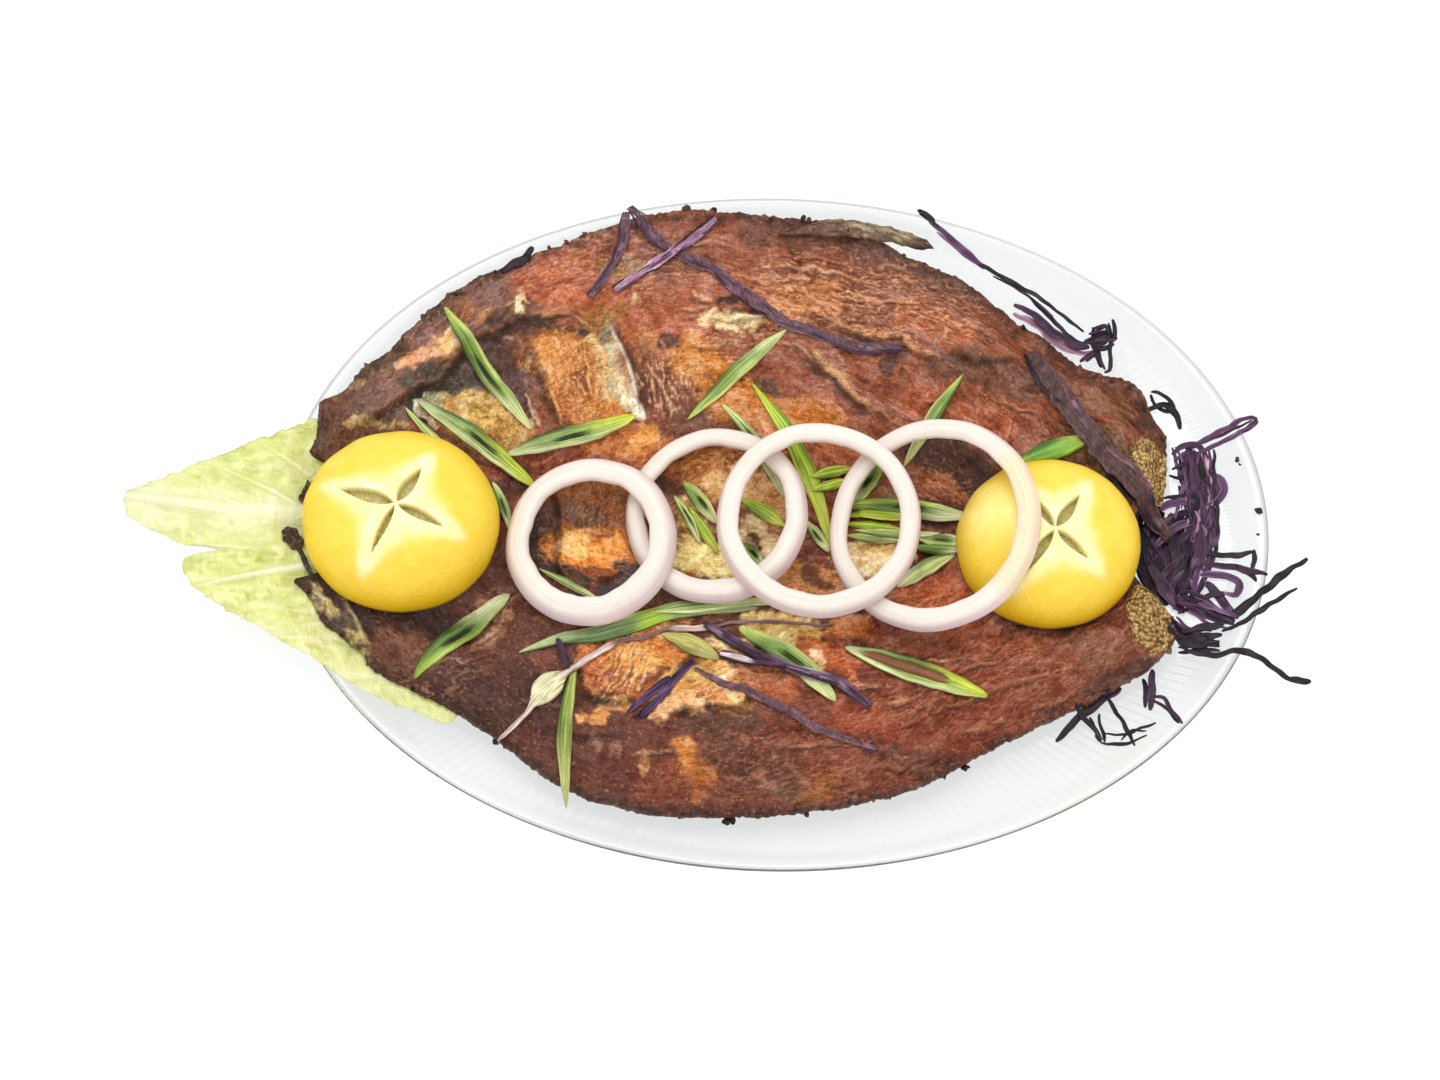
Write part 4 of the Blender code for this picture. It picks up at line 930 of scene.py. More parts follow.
NEAR_PAINT = [
    ([(-151, -22), (-142, -25), (-136, -31)], 1.5, (66, 50, 40), 0.92),      # jaw
    ([(-153, -24), (-146, -32), (-138, -41), (-130, -50)], 1.3, (70, 52, 38), 0.92),
    ([(-147, -27), (-141, -32), (-135, -40), (-130, -46)], 2.3, (214, 192, 132), 0.95),
    ([(-136, -36), (-120, -36), (-102, -37)], 4.5, (72, 53, 50), 0.88),
    ([(-124, -44), (-112, -50)], 6, (120, 79, 61), 0.8),
    ([(-96, -44), (-88, -38)], 1.8, (172, 124, 90), 0.75),
    ([(-92, -30), (-86, -33)], 3, (186, 136, 100), 0.7),
    ([(-100, -59), (-86, -62), (-70, -58)], 10, (86, 55, 47), 0.85),
    ([(-86, -78), (-72, -82)], 7, (110, 70, 54), 0.75),
    ([(-76, -46), (-66, -48)], 4, (132, 80, 62), 0.8),
    ([(-72, -36), (-66, -34)], 4, (130, 86, 68), 0.7),
    ([(-55, -47), (-42, -43), (-32, -42)], 6.5, (222, 142, 72), 0.97),       # orange near fillet
    ([(-57, -54), (-40, -56)], 5, (190, 113, 62), 0.92),
    ([(-47, -44), (-38, -46)], 3, (244, 188, 112), 0.9),
    ([(-58, -58), (-50, -61.5), (-44, -60)], 2.6, (78, 48, 36), 0.9),
    ([(-58, -66), (-52, -64), (-46, -61)], 2.1, (218, 160, 98), 0.95),
    ([(-31, -59), (-26, -52), (-19, -52), (-12, -58)], 5.6, (232, 178, 106), 0.97),   # chunk
    ([(-26, -50.5), (-20, -52)], 2.5, (252, 218, 144), 0.95),
    ([(-17, -54.5), (-11.5, -59.5)], 1.7, (254, 230, 176), 0.97),
    ([(-26.5, -59), (-24.5, -64)], 2, (248, 202, 146), 0.95),
    ([(-21, -56), (-17, -60)], 2.6, (218, 146, 76), 0.8),
    ([(-36, -64), (-29, -63)], 2, (230, 184, 132), 0.9),
    ([(-26, -67), (-16, -65.5), (-6, -66)], 3.4, (98, 70, 58), 0.8),
    ([(-28, -75), (-25, -78), (-22, -84)], 3, (208, 150, 78), 0.92),
    ([(-29, -84), (-22, -87)], 4, (174, 108, 62), 0.75),
    ([(-40, -86), (-30, -87)], 5, (136, 76, 54), 0.7),
    ([(-56, -73), (-56, -77)], 1.5, (166, 126, 108), 0.8),
    ([(-50, -75), (-49, -77)], 1.3, (160, 120, 102), 0.8),
    ([(-41, -79), (-40, -81)], 1.3, (190, 146, 104), 0.85),
    ([(-34, -33), (-29, -33)], 2.4, (206, 146, 84), 0.85),
    ([(-17, -40), (-10, -44)], 3.2, (228, 182, 112), 0.9),
    ([(-14, -51), (-9, -50)], 1.4, (238, 194, 144), 0.9),
    ([(-7, -53), (3, -54)], 5, (180, 103, 58), 0.9),
    ([(-5, -34), (6, -36), (13, -39)], 4.4, (236, 192, 114), 0.95),
    ([(2, -38), (8, -40)], 2.6, (252, 226, 156), 0.92),
    ([(13, -42), (21, -46)], 5, (200, 116, 68), 0.88),
    ([(15, -44), (16, -49)], 1.7, (248, 210, 166), 0.92),
    ([(20, -34), (29, -33)], 4.4, (208, 130, 74), 0.88),
    ([(24, -62), (36, -66)], 6, (168, 95, 64), 0.75),
    ([(6, -86), (12, -88), (19, -84)], 3, (170, 118, 66), 0.85),
    ([(-17, -76), (-6, -80), (4, -84)], 6, (106, 77, 63), 0.8),
    ([(-3, -82), (-2, -84)], 1.6, (158, 118, 96), 0.85),
    ([(30, -72), (44, -77), (56, -79)], 3, (92, 61, 57), 0.7),
    ([(58, -34), (76, -38)], 6, (162, 90, 62), 0.8),
    # painted shade beside the right lemon
    ([(76, -33), (96, -36)], 3.0, (118, 72, 58), 0.7),
    ([(96, -36), (108, -41)], 4.0, (136, 92, 66), 0.6),
    ([(102, -51), (118, -45)], 3.0, (98, 64, 52), 0.7),
]
# Pale threads and torn flakes: path, half width, colour, height.
FISH_THREADS = [
    ([(-83, 43), (-80, 37), (-77, 31)], 0.7, (230, 194, 164), 0.5),
    ([(-75, 50), (-73, 42), (-70, 33)], 0.8, (228, 170, 108), 0.6),
    ([(-78, 66), (-69, 69), (-62, 65)], 0.8, (216, 154, 104), 0.7),
    ([(-32, 72), (-24, 72.6), (-19, 72)], 0.8, (240, 186, 142), 0.7),
    ([(-29, 78.5), (-26, 76), (-22, 75)], 0.8, (246, 196, 152), 0.6),
    ([(-9, 65), (-6, 69), (-4, 71)], 1.0, (244, 206, 146), 0.7),
    ([(-23, 70.4), (-16, 69.4), (-8, 70.2), (-1, 71.4)], 0.7, (255, 236, 184), 0.4),
    ([(-30, 62), (-24, 60), (-17, 60.5)], 0.8, (226, 168, 122), 0.6),
    ([(-60, 92), (-54, 90.5), (-47, 91)], 0.7, (224, 164, 128), 0.6),
    ([(-33, 95), (-24, 96), (-14, 94.6)], 0.6, (206, 142, 110), 0.5),
    ([(-6, 88), (4, 89), (16, 87.6), (26, 86)], 0.8, (232, 172, 124), 0.7),
    ([(28, 88), (40, 87), (52, 82)], 0.7, (206, 138, 100), 0.6),
    ([(-44, -78), (-36, -76.5), (-28, -77)], 0.8, (176, 122, 92), 0.5),
    ([(4, -74), (14, -72.5), (24, -73)], 0.8, (182, 122, 90), 0.5),
    ([(-80, -60), (-72, -62), (-64, -61.5)], 0.8, (150, 106, 84), 0.5),
    ([(0, 83), (5, 85), (11, 84)], 0.8, (232, 166, 116), 0.7),
    ([(-16, 85), (-8, 83), (-1, 82)], 0.7, (214, 140, 96), 0.6),
    ([(18, 79), (30, 77), (45, 77)], 0.6, (224, 158, 108), 0.6),
    ([(11, 60), (17, 53), (25, 46), (32, 38)], 1.3, (216, 170, 114), 0.9),
    ([(30, 41), (36, 38), (44, 33)], 0.7, (200, 146, 98), 0.5),
    ([(1, 61), (7, 60.5), (11, 57)], 0.6, (220, 160, 112), 0.5),
    ([(24, 68), (32, 65.5), (40, 65), (47, 60), (55, 57)], 1.1, (222, 160, 112), 1.0),
    ([(10, 73), (18, 70), (26, 66), (34, 63)], 0.8, (226, 162, 108), 0.8),
    ([(-6, 92), (8, 93), (24, 91)], 0.6, (190, 118, 84), 0.6),
    ([(40, 84), (54, 79), (66, 72)], 0.7, (196, 122, 82), 0.7),
    ([(56, 74), (68, 67), (80, 61)], 0.6, (184, 114, 76), 0.6),
    ([(66, 46), (76, 42), (86, 40)], 0.6, (204, 128, 84), 0.5),
    ([(92, 46), (99, 39), (104, 32)], 0.6, (160, 112, 78), 0.6),
    ([(74, 27), (77, 35), (76, 40)], 0.4, (210, 150, 110), 0.3),
    ([(-42, 52), (-38, 46), (-34, 39), (-33, 36)], 0.6, (224, 172, 132), 0.5),
    ([(-37, 44), (-35, 40), (-34.5, 36)], 0.7, (230, 180, 138), 0.5),
    ([(-41, 66), (-37, 58), (-36, 52)], 0.4, (206, 142, 104), 0.4),
    ([(-63, 56), (-62, 49), (-61, 43)], 0.5, (246, 200, 132), 0.4),
    ([(-96, -42), (-91, -39), (-87, -36)], 0.8, (206, 160, 122), 0.5),
    ([(-107, -50), (-102, -49), (-98, -50)], 0.8, (180, 140, 116), 0.5),
    ([(-55, -52), (-52, -47), (-51, -43)], 0.6, (248, 196, 128), 0.4),
    ([(-49, -55), (-46, -49), (-44, -43)], 0.6, (250, 204, 140), 0.5),
    ([(-43, -57), (-41, -52), (-40, -50)], 0.8, (250, 214, 166), 0.6),
    ([(-52, -51), (-49, -45), (-47, -42)], 0.5, (242, 178, 104), 0.4),
    ([(22, -53), (28, -54), (34, -54)], 1.2, (230, 164, 116), 0.8),
    ([(35, -59.5), (41, -58.5), (47, -56)], 1.0, (208, 144, 104), 0.7),
    ([(49, -45), (56, -45.6)], 0.8, (238, 176, 136), 0.6),
    ([(60, -67), (66, -65.8), (71, -66)], 0.9, (190, 126, 86), 0.6),
    ([(70, -64), (76, -63.6)], 0.7, (180, 118, 80), 0.5),
    ([(50, -62), (62, -58), (76, -52), (92, -47)], 0.7, (166, 104, 72), 0.6),
    ([(60, -48), (70, -45), (78, -42)], 0.8, (172, 112, 80), 0.6),
    ([(80, -60), (92, -56), (100, -51)], 0.7, (160, 104, 74), 0.6),
    ([(26, -80), (40, -79), (52, -74)], 0.6, (150, 96, 72), 0.5),
    ([(50, 15), (56, 15), (62, 10)], 0.7, (200, 134, 96), 0.5),
    ([(40, -22), (50, -24), (60, -20)], 0.6, (226, 140, 90), 0.4),
    ([(-94, 8), (-89, 5), (-86, 2)], 1.2, (222, 176, 156), 0.8),
    ([(-80, -21), (-86, -29), (-88, -36)], 0.6, (190, 140, 110), 0.4),
]
# Steps where one layer of skin or flesh ends over another: path, side that is higher (1 for the left
# of the path, -1 for the right), height, width of the rise behind it, colour painted along the step's
# crest. That colour is a painted highlight as well as the edge's own colour; each step also gets
# painted shadow at its foot.
FISH_FOLDS = [
    ([(-140, 26), (-128, 33), (-119, 42), (-110, 47), (-105, 54), (-98, 60), (-90, 63), (-83, 72)],
     1, 1.9, 15.0, (150, 104, 78)),
    ([(-88, 66), (-77, 67), (-68, 70), (-61, 66)], 1, 1.4, 11.0, (206, 134, 92)),
    ([(-83, 62), (-78, 52), (-75, 42), (-69, 28)], 1, 1.5, 9.0, (176, 114, 78)),
    ([(-56, 66), (-51, 57), (-47, 49), (-45, 42), (-44.5, 34)], -1, 2.4, 6.0, (255, 250, 232)),
    ([(-112, 31), (-104, 26), (-95, 20), (-86, 19)], 1, 0.9, 6.0, (206, 166, 96)),
    ([(-22, 71.5), (-14, 70), (-5, 71)], -1, 0.4, 4.0, (250, 230, 176)),
    ([(6, 60), (14, 54), (24, 45), (33, 36)], 1, 0.6, 6.0, (206, 152, 104)),
    ([(18, 67.5), (28, 65), (38, 63)], 1, 0.6, 8.0, (206, 138, 92)),
    ([(56, 59), (68, 57), (82, 59)], 1, 0.8, 9.0, (150, 92, 64)),
    ([(86, 56), (96, 44), (106, 28), (118, 12)], 1, 1.0, 8.0, (140, 94, 64)),
    ([(-74, 14), (-70, 6), (-69, -6), (-69, -16), (-62, -22)], 1, 1.5, 6.0, (190, 122, 72)),
    ([(-70, -2), (-60, -1), (-50, -2)], -1, 0.9, 5.0, (240, 178, 104)),
    ([(-62, -17), (-54, -17), (-48, -13)], 1, 0.9, 4.0, (190, 112, 66)),
    ([(-140, -25), (-134, -34), (-128, -44)], -1, 1.1, 4.0, (224, 204, 150)),
    ([(-60, -48), (-60, -54), (-57, -58), (-49, -60), (-42, -59)], 1, 1.3, 7.0, (214, 146, 86)),
    ([(-34, -64), (-22, -62), (-12, -61), (-9, -58), (-14, -52)], 1, 2.0, 6.0, (252, 214, 150)),
    ([(-33, -59), (-30, -53), (-27, -48.5), (-21, -48)], -1, 0.9, 4.0, (246, 204, 136)),
    ([(8, -42), (11, -47), (18, -50)], 1, 0.9, 5.0, (226, 160, 106)),
    ([(-76, -66), (-60, -71), (-44, -70)], 1, 0.5, 7.0, (112, 74, 58)),
    ([(14, -34), (24, -30), (32, -31)], -1, 0.8, 5.0, (214, 142, 90)),
]
# Fields of fine hairs: middle, reach, direction in degrees, spacing, colour, strength.
FISH_HAIRS = [
    ((-64, 47), (15, 12), -72, 1.7, (238, 186, 116), 0.75),
    ((-37, 47), (10, 14), -74, 1.9, (226, 172, 130), 0.95),
    ((-58, -9), (13, 8), 2, 1.6, (250, 196, 118), 0.55),
    ((-58, 8), (12, 8), 84, 1.8, (206, 148, 92), 0.6),
    ((-47, -48), (14, 9), 66, 1.7, (252, 204, 138), 0.95),
    ((-74, 78), (12, 10), 30, 2.2, (222, 146, 104), 0.6),
    ((-95, 34), (10, 7), -40, 1.6, (226, 186, 112), 0.6),
    ((-110, 64), (20, 10), 38, 2.0, (178, 132, 102), 0.45),
    ((-104, -50), (16, 10), 30, 2.2, (164, 118, 92), 0.7),
    ((-22, 20), (12, 8), 12, 1.8, (240, 186, 116), 0.5),
    ((54, 14), (14, 8), -12, 2.2, (190, 124, 88), 0.7),
    ((50, -23), (14, 6), 12, 2.0, (224, 136, 84), 0.6),
    ((-12, 66), (16, 8), -8, 1.9, (240, 190, 138), 0.6),
    ((-20, -56), (9, 7), 35, 2.4, (255, 232, 178), 0.6),
    ((30, 78), (44, 16), -12, 2.3, (232, 168, 126), 0.85),
    ((-52, 88), (26, 12), -4, 2.2, (224, 158, 124), 0.7),
    ((66, -52), (40, 14), 14, 2.6, (186, 120, 86), 0.65),
    ((10, -80), (44, 12), 2, 2.4, (172, 118, 92), 0.6),
    ((-6, 20), (16, 9), 20, 1.8, (246, 204, 140), 0.6),
]
# The cut ends of the tail, which are grainy: middle, half length, half width, direction in degrees.
TAIL_ENDS = [((122.5, 19), 14, 7.5, 97), ((121, -29), 12.5, 8.2, 100)]
# Places where the edge reaches out, or falls short where the reach is negative: place, reach, size.
EDGE_BITS = [(20, 101, 3.2, 17), (-151, 19, 1.9, 2.2), (-148.5, 28, -2.2, 4.0), (-148, 37, 1.2, 2.6),
             (-151.5, -23, 1.6, 2.4), (-114, 72, 3.0, 13), (-136, 51, 1.8, 6), (70, 90, 1.9, 12),
             (92, 68, 1.5, 9), (116, 50, 2.8, 9), (-143, -38, 2.4, 5), (-134, -46, -1.4, 4)]
NEAR_SHORT = 2.0            # how far the near edge falls short of the solid's
FRY_DEPTH = 1.1             # how far the fried colours are pulled towards dark brown
FRY_GREY = 0.1              # how far the pale ones are pulled towards grey
# Stretches that are paler or browner than their patches: middle, reach, gain in red, green and blue.
FISH_LIGHTS = [
    ((-58, -13), (13, 12), (1.46, 1.5, 1.5)),        # inside the first ring
    ((-96, 47), (13, 9), (1.5, 2.05, 2.85)),         # gill
    ((-49, 49), (5, 12), (1.75, 1.7, 1.3)),          # belly skin
    ((-122, 42), (15, 9), (2.05, 1.85, 1.95)),       # ridge of the head
    ((-104, 61), (13, 7), (1.25, 1.38, 1.65)),       # flap of the head
    ((-90, 34), (9, 6), (1.1, 1.16, 1.2)),
    ((-60, 48), (10, 14), (0.7, 0.54, 0.46)),        # meat on the ribs
    ((-46, 92), (24, 10), (0.78, 1.09, 1.48)),       # far fillet
    ((16, 78), (38, 16), (0.96, 1.1, 1.24)),
    ((-16, -5), (9, 7), (1.15, 1.25, 1.2)),          # cream flesh inside the rings
    ((92, 48), (18, 12), (0.99, 0.87, 0.88)),
    ((4, -77), (60, 15), (1.07, 0.76, 0.63)),        # near fillet
    ((68, -58), (34, 16), (0.91, 0.6, 0.43)),
    ((-20, -56), (10, 7), (1.0, 0.84, 0.74)),
    ((-50, -48), (15, 8), (1.02, 0.92, 0.86)),
    ((26, -49), (18, 7), (0.95, 0.84, 0.78)),
    ((-122, -44), (18, 10), (1.1, 1.08, 1.0)),
]
FISH_ROWS = 192
FISH_SIDES = 1270
FISH_PARTS = [("milkfish_belly", 0, 66), ("milkfish_fillets", 66, 132), ("milkfish_edge", 132, 400)]
FISH_SIDE_PROFILE = [       # from the crisp edge down: share of the way out, level above the bed
    (1.004, 0.86), (1.007, 0.7), (1.009, 0.52), (1.009, 0.34), (1.006, 0.16), (1.0, 0.05),
]
FISH_UNDER_SHARES = (0.93, 0.7, 0.35, 0.0)      # rows of the underside, as shares of the way out
FRY_SHADE_TONE = (0.86, 1.08, 1.16)       # how strongly red, green and blue follow the painted shade and tone
BRIGHTNESS = (0.3, 0.59, 0.11)      # weights of red, green and blue


def near_path(x, y, path, reach):
    """The points near a path: which they are, how far off, on which side and how far along it."""
    line = smooth(path, 5 * len(path))
    low, high = line.min(axis=0) - reach, line.max(axis=0) + reach
    which = np.flatnonzero((x > low[0]) & (x < high[0]) & (y > low[1]) & (y < high[1]))
    place = np.column_stack([x[which], y[which]])
    best = np.full(len(which), 1e9)
    side = np.zeros(len(which))
    share = np.zeros(len(which))
    for step, (a, b) in enumerate(zip(line, line[1:])):
        run = b - a
        part = np.clip((place - a) @ run / (run @ run), 0, 1)
        away = place - a - part[:, None] * run
        distance = np.hypot(*away.T)
        closer = distance < best
        best = np.where(closer, distance, best)
        side = np.where(closer, np.sign(run[0] * away[:, 1] - run[1] * away[:, 0]), side)
        share = np.where(closer, (step + part) / (len(line) - 1), share)
    return which, best, side, share


def blend_in(paint, which, share, colour):
    """Lay a colour over part of the paint."""
    paint[which] = toward(paint[which], share, colour)


def hairs(u, v, spacing, seed):
    """Thin lines along u, some distance apart in v: 1 on a line and 0 between them."""
    field = noise(u / 9, v / spacing, 1, seed) + 0.35 * noise(u / 3.5, v / spacing * 1.7, 1, seed + 1)
    return 1 - ramp(np.abs(field), 0.0, 0.16)


def tail_field(x, y):
    """1 on the grainy cut ends of the tail and 0 elsewhere."""
    field = np.zeros_like(x)
    for middle, half_length, half_width, direction in TAIL_ENDS:
        u, v = turned(x, y, middle, direction)
        away = np.hypot(u / half_length, v / half_width) + 0.1 * noise(x, y, 4, 72)
        field = np.maximum(field, ramp(away, 1.02, 0.88))
    return field


def flesh(x, y, stem, across):
    """Fine relief of the flesh in millimetres, and its tone from -1 (dark) to 1 (pale): painted shade in
    the relief's furrows and painted highlights on its crests, with random tone over them.
    """
    bend = 3.5 * layered(x, y, 19, 21, 2) + 0.8 * noise(x, y, 4.5, 23)
    slide = stem + 4 * noise(x, y, 12, 24)
    level = across + bend
    broad = noise(slide / 34, level / 7.5, 1, 31)
    swell = noise(slide / 17, level / 3.6, 1, 32)
    small = noise(slide / 8, level / 1.9, 1, 33)
    cleft = noise(slide / 21, level / 5.2, 1, 36)
    fibre = noise(slide / 5, level / 0.85, 1, 34)
    crust = layered(x, y, 4.2, 50, 3, 0.6)
    grit = noise(x, y, 1.15, 54)
    here = ramp(noise(x, y, 21, 37), -0.15, 0.35)
    there = ramp(noise(x, y, 26, 38), -0.1, 0.4)
    crest = here * np.exp(-(swell / 0.06) ** 2)
    furrow = there * np.exp(-(cleft / 0.045) ** 2)
    tailward = ramp(x, -55, 30)
    leather = ramp(y, -52, -68) * ramp(x, 60, 10)
    wrinkled = (0.5 + 0.5 * tailward) * (1 - 0.5 * leather)
    relief = wrinkled * (0.7 * broad - 0.75 * np.abs(swell) - 0.4 * np.abs(small))
    relief += wrinkled * (0.14 * crest - 0.4 * furrow) + 0.07 * fibre
    relief += (0.4 + 0.25 * leather) * crust + 0.09 * grit
    # The tone falls where the relief sinks and rises where it swells: painted shade and painted
    # highlights, with random tone.
    shade_and_tone = wrinkled * (0.55 * broad - 0.7 * (np.abs(swell) - 0.28) - 0.5 * (np.abs(small) - 0.28))
    shade_and_tone += wrinkled * (0.6 * crest - 0.75 * furrow) + 0.2 * fibre
    shade_and_tone += 0.36 * crust + 0.25 * grit + 0.26 * layered(x, y, 11.0, 57, 2)
    return relief, np.clip(shade_and_tone, -1, 1)


def lay_folds(x, y, near, relief, paint):
    """Steps where one layer ends over another, with a hollow and painted shadow at the foot of each and
    a painted highlight along its crest.
    """
    for path, high, height, back, colour in FISH_FOLDS:
        which, away, side, share = near_path(*near, path, 2.5 * back)
        fade = ramp(share, 0.0, 0.2) * ramp(share, 1.0, 0.8)
        out = away * side * high
        step = np.where(out > 0, np.exp(-np.maximum(out, 0) / back), np.exp(np.minimum(out, 0) / 0.5))
        foot = 0.4 * np.exp(-((out + 1.7) / 1.1) ** 2)
        beyond = ramp(away, 2.5 * back, 1.5 * back)
        patchy = 0.35 + 0.65 * ramp(noise(x[which], y[which], 5, 48), -0.4, 0.3)
        relief[which] += height * fade * (step - foot) * beyond
        # Painted shadow at the foot of the step, and a painted highlight along its crest.
        shade_gap = (0.4 + 0.4 * patchy) * fade
        blend_in(paint, which, shade_gap * np.exp(-((out + 1.5) / 1.4) ** 2), (46, 29, 22))
        blend_in(paint, which, 0.6 * fade * patchy * np.exp(-((out - 0.5) / 0.7) ** 2), colour)


def lay_hairs(x, y, near, relief, paint):
    """Fields of fine hairs with sunken gaps between them, painted dark: painted shade in the gaps as
    well as the flesh's own dark lines.
    """
    for number, (middle, (long, wide), direction, spacing, colour, strength) in enumerate(FISH_HAIRS):
        u, v = turned(*near, middle, direction)
        away = np.hypot(u / long, v / wide)
        which = np.flatnonzero(away < 1.3)
        there = ramp(away[which] + 0.3 * noise(x[which], y[which], 5, 46), 1.2, 0.6)
        line = hairs(u[which], v[which], spacing, 150 + 2 * number)
        shade_gap = hairs(u[which] + 5, v[which] + spacing / 2, spacing, 250 + 2 * number)
        relief[which] += there * (0.3 * line - 0.3 * shade_gap)
        blend_in(paint, which, 0.6 * strength * there * shade_gap, (74, 44, 32))
        blend_in(paint, which, strength * there * line, colour)


def lay_threads(x, y, near, relief, paint):
    """Single pale threads and flakes, each with a painted shadow beside it."""
    for path, half_width, colour, height in FISH_THREADS:
        which, away, side, share = near_path(*near, path, 5 * half_width + 2)
        taper = half_width * (0.35 + 0.65 * np.sin(math.pi * np.clip(share, 0.03, 0.97)) ** 0.6)
        taper = taper * (1 + 0.45 * layered(x[which], y[which], 3.0, 47, 2))
        ends = ramp(share, 0.0, 0.06) * ramp(share, 1.0, 0.94)
        ends *= 0.45 + 0.55 * ramp(noise(x[which], y[which], 3.5, 49), -0.45, 0.05)
        split = 0.7 + 0.3 * np.cos(7.0 * away * side / half_width)
        relief[which] += 0.5 * ends * height * split * np.exp(-(away / (taper * 1.1)) ** 2)
        shade = np.exp(-((away * side + 1.7 * taper) / (0.9 * taper)) ** 2)
        blend_in(paint, which, 0.65 * ends * shade, (58, 35, 26))
        blend_in(paint, which, 0.9 * ends * split * ramp(away / taper, 1.3, 0.4), colour)


def fish_paint(x, y, shade_and_tone):
    """Colour of the fried flesh, patch by patch, with edges that wander."""
    shift_x = x + 2.6 * layered(x, y, 12, 3) + 0.9 * noise(x, y, 2.4, 8)
    shift_y = y + 2.6 * layered(x, y, 12, 5) + 0.9 * noise(x, y, 2.4, 9)
    tailward = ramp(x, -60, 70)
    near_colour = toward(linear(112, 69, 55), tailward, (146, 86, 62))
    far_colour = toward(linear(166, 98, 70), tailward, (152, 90, 62))
    paint = near_colour + ramp(y, -22, 22)[:, None] * (far_colour - near_colour)
    for path, half_width, colour, strength in HEAD_PAINT + FAR_PAINT + MIDDLE_PAINT + NEAR_PAINT:
        which, away, _, _ = near_path(shift_x, shift_y, path, 1.6 * half_width + 1)
        inside = 1 - away / half_width + 0.3 * shade_and_tone[which]
        blend_in(paint, which, strength * ramp(inside, -0.35, 0.3), colour)
    return paint


def fry(x, y, shade_and_tone, paint):
    """Darken the paint as frying does, paint the relief's shade and highlights into it, clear its grey,
    and light the stretches that are lighter.
    """
    paint = paint ** FRY_DEPTH
    paint *= (1 + np.where(shade_and_tone > 0, 0.85, 0.74) * shade_and_tone)[:, None] ** np.array(FRY_SHADE_TONE)
    grey = paint @ np.array(BRIGHTNESS)
    paint += (FRY_GREY * (3.0 * ramp(shade_and_tone, -0.2, 0.7) - 0.4))[:, None] * (grey[:, None] - paint)
    for (middle_x, middle_y), (reach_x, reach_y), gain in FISH_LIGHTS:
        near = np.exp(-(((x - middle_x) / reach_x) ** 2 + ((y - middle_y) / reach_y) ** 2))
        paint *= 1 + near[:, None] * (np.array(gain) - 1)
    return paint


def grid_normals(points, faces):
    """Smooth normals of a mesh, as one for each point."""
    corners = np.array([face if len(face) == 4 else [*face, face[-1]] for face in faces])
    a, b, c, d = (points[corners[:, k]] for k in range(4))
    normals = np.zeros_like(points)
    flat = np.cross(c - a, d - b)
    for k in range(4):
        np.add.at(normals, corners[:, k], flat)
    return normals / np.maximum(np.linalg.norm(normals, axis=1), 1e-9)[:, None]


def ragged_edge(edge, stem):
    """How far the crisp edge of the fish reaches out beyond the outline, all round."""
    jag = 0.8 * wander(stem, 63, 9.0) + 0.5 * wander(stem, 62, 1.6)
    jag -= NEAR_SHORT * ramp(-edge[:, 1], 50, 62) * ramp(edge[:, 0], 105, 70)
    jag += 1.2 * ramp(wander(stem, 61, 2.7), 0.35, 0.75) - 0.15
    for bit_x, bit_y, further, size in EDGE_BITS:
        jag += further * np.exp(-(np.hypot(edge[:, 0] - bit_x, edge[:, 1] - bit_y) / size) ** 2)
    return jag


def cut_in_three(points, faces, sides, values, material):
    """The surface of the fish as pieces that keep its smooth normals where they meet."""
    normals = grid_normals(points, faces)
    if normals[:, 2].sum() < 0:
        faces = [face[::-1] for face in faces]
        normals = -normals
    row_of = np.array([min(face) for face in faces])
    half = sides // 2 + 1
    row_of = np.where(row_of < half, 0, 1 + (row_of - half) // sides)
    pieces = []
    for name, first, stop in FISH_PARTS:
        chosen = [faces[k] for k in np.flatnonzero((row_of >= first) & (row_of < stop))]
        used = np.unique(np.concatenate([np.array(face) for face in chosen]))
        place = np.full(len(points), -1)
        place[used] = np.arange(len(used))
        own = [[int(place[corner]) for corner in face] for face in chosen]
        paint, grain, crisp, tail = [value[used] for value in values]
        piece = make(name, points[used], own, material, "fried_fish", paint=paint, grain=grain,
                     masks={"crisp": crisp[:, 0], "tail": tail[:, 0]}, normals=normals[used])
        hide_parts("fish")
        pieces.append(piece)
    return pieces


